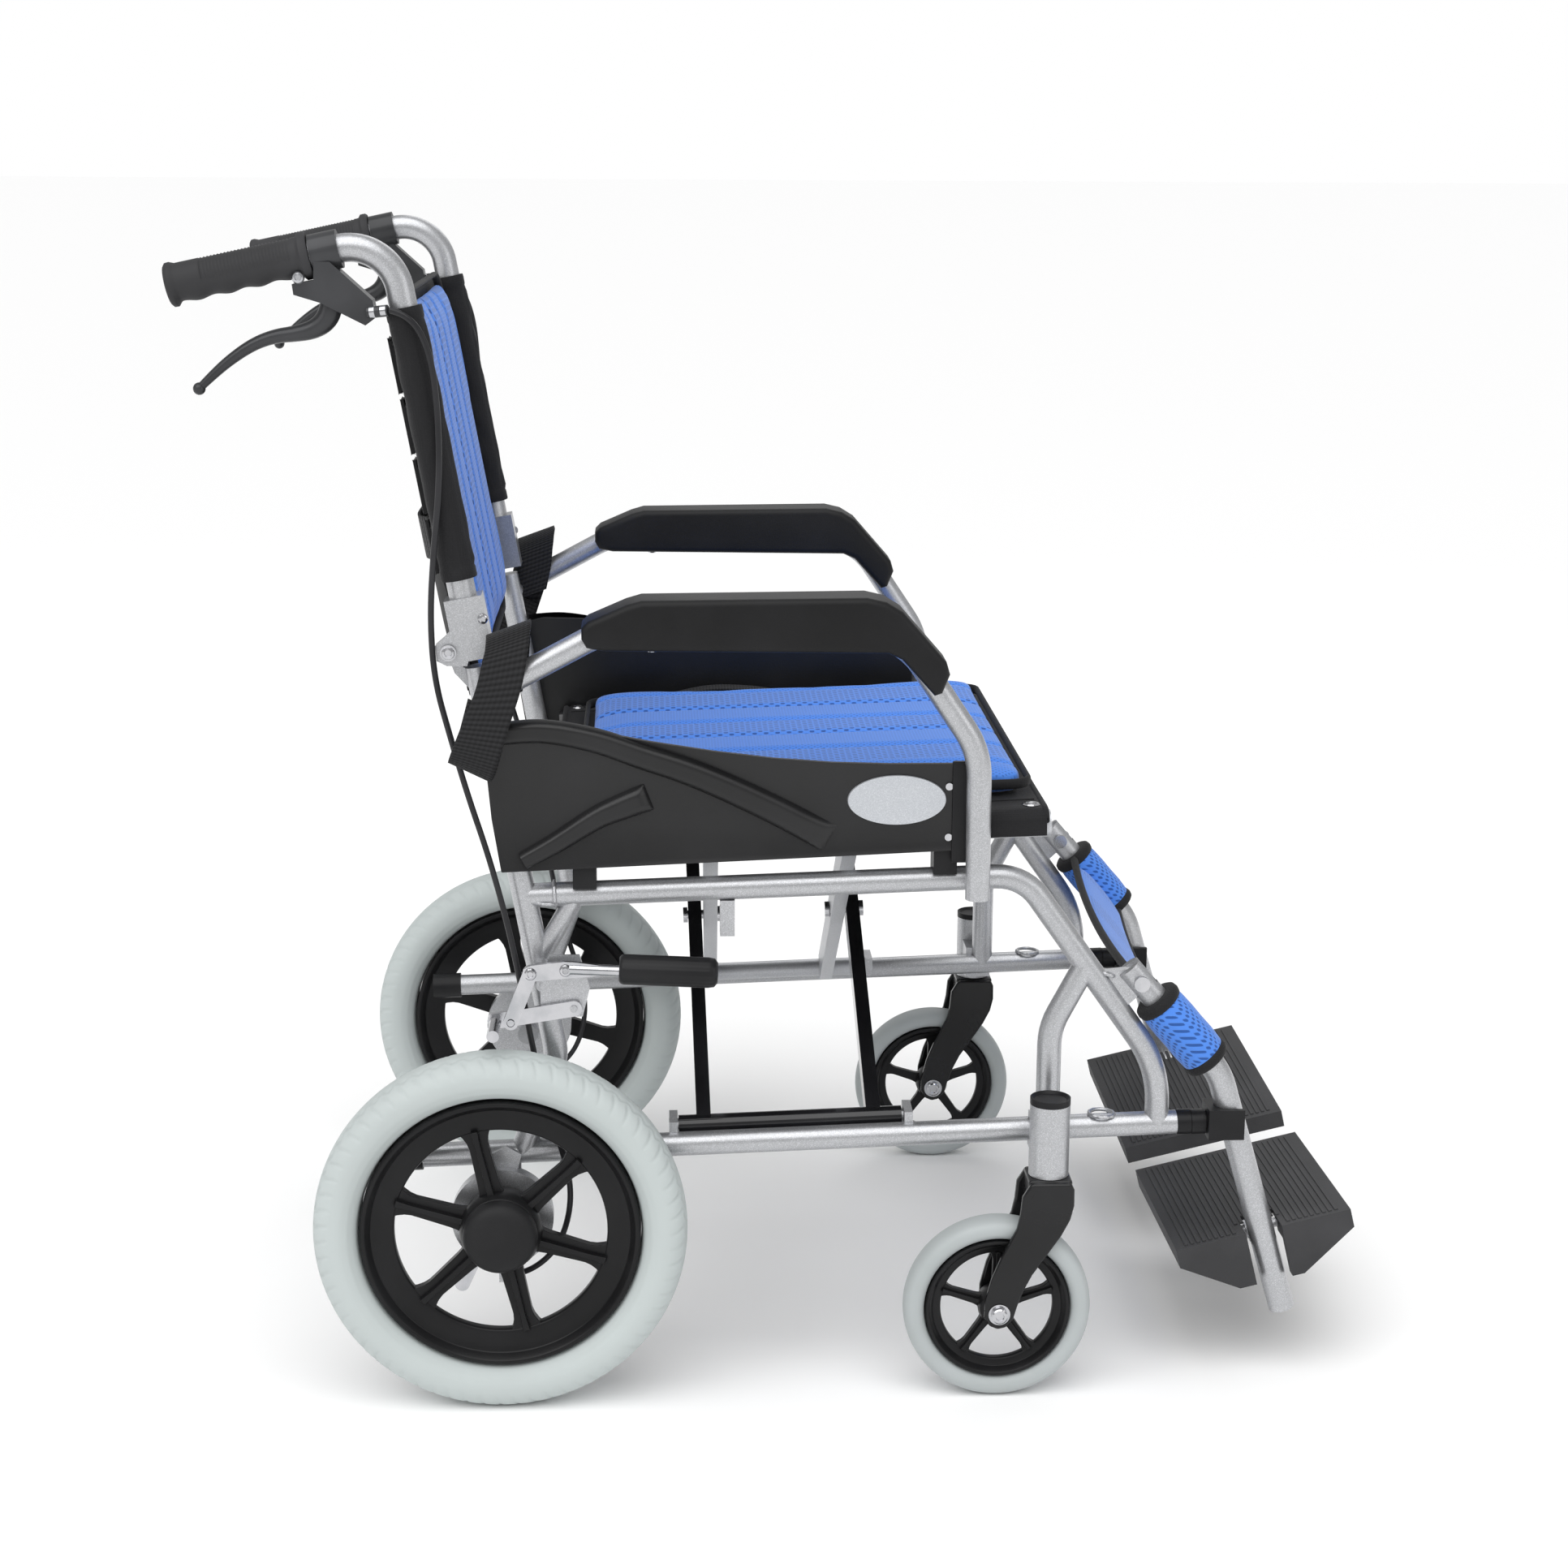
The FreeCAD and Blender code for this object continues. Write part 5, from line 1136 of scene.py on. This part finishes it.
# The lap belts: wide black webbing, one loop hung over the rear of each armrest tube,
# with its end folded back on itself.
BELT_LINE = [(6, -250.2, 588), (11, -249.6, 612), (13, -249.8, 634), (14, -254, 643.5), (14, -262, 647),
             (14, -270, 643), (12, -273, 630), (6, -274, 602), (-4, -274.2, 574), (-12, -273.6, 552),
             (-17, -271.5, 538), (-18, -268.6, 534), (-14, -266.4, 541), (-8, -266.4, 562), (-2, -267, 584)]


def belt_across(t):
    lean = radians(20) if t < 0.4 else radians(20 - 46 * min(1, (t - 0.4) / 0.35))
    return Vector((cos(lean), 0, sin(lean)))


belt_mesh = webbing("right_belt_loop", [at(*point) for point in BELT_LINE], 37, belt_across, 110)
for side, one in zip(SIDES, (belt_mesh, other_hand("left_belt_loop", belt_mesh))):
    thicken(show(side + "_belt_loop", one, strap_black, "black_fabric", side + "_frame", side + "_belt"), 2.2)


# The calf band: blue mesh over thin foam, sewn into a sleeve round each leg tube and bound in black.
DOWN = Vector((0.6506, 0, -0.7593))
CALF_OUT = Vector((0.7593, 0, 0.6506))


def calf_at(down, across, out):
    """A point that far down the leg tube from the sleeve's top, and out from the tubes' plane."""
    return at(541.3, across, 329) + (DOWN * down + CALF_OUT * out) / 1000


def calf_sag(across):
    """How far the band hangs in behind the leg tubes."""
    return 13 * (1 - (across / 224) ** 2)


calf = bmesh.new()


def calf_place(share, around):
    across = 224 * (2 * share - 1)
    full = min(1, 14 * min(share, 1 - share)) ** 0.5
    turn = tau * around
    return calf_at(35 + 34 * full * squared(cos(turn), 0.6), across,
                   4.6 * full * squared(sin(turn), 0.8) - calf_sag(across))


strip(calf, 96, 48, calf_place)
calf_band = show_made("calf_band", calf, calf_mesh, "blue_mesh", "right_leg", "calf_strap")


def edge_place(t, s, down):
    across = 216 * (2 * t - 1)
    return calf_at(down + 3.4 * cos(tau * s), across, 3.6 * sin(tau * s) - calf_sag(across))


calf_edges = bmesh.new()
for edge in (0.5, 69.5):
    strip(calf_edges, 96, 12, lambda t, s: edge_place(t, s, edge))
calf_tapes = show_made("calf_band_binding", calf_edges, black_nylon, "black_fabric", "right_leg")
calf_sleeves = bmesh.new()
calf_cuffs = bmesh.new()
turned(calf_sleeves, [(11.4, 0), (16.6, 0), (18.2, 3), (19.4, 12), (19.8, 24), (19.6, 36), (19.9, 50),
                      (19.2, 62), (17.6, 70), (11.4, 70)], calf_at(0, -FRAME_Y, 0), DOWN, 48)
for start, end in ((-2, 8), (62, 72)):
    turned(calf_cuffs, [(11.2, start), (17.4, start), (19.6, start + 1.6), (20.4, (start + end) / 2),
                        (19.6, end - 1.6), (17.4, end), (11.2, end)], calf_at(0, -FRAME_Y, 0), DOWN, 48)
show_pair("calf_sleeve", calf_sleeves, calf_mesh, "blue_mesh", "leg", crease=60)
show_pair("calf_cuff", calf_cuffs, black_nylon, "black_fabric", "leg", crease=60)


# The seat, back and calf fabrics each get their own copy of their mesh.
# The sleeves are not among them and stay round their own canes and leg tubes.
for soft in (seat_pad, seat_binding, seat_sling, seat_hems, seat_rivets, pull_strap, seat_pull_rivet, back_pad,
             back_binding,
             back_sling, back_pocket, back_buckles, calf_band, calf_tapes, *straps):
    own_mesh(soft)
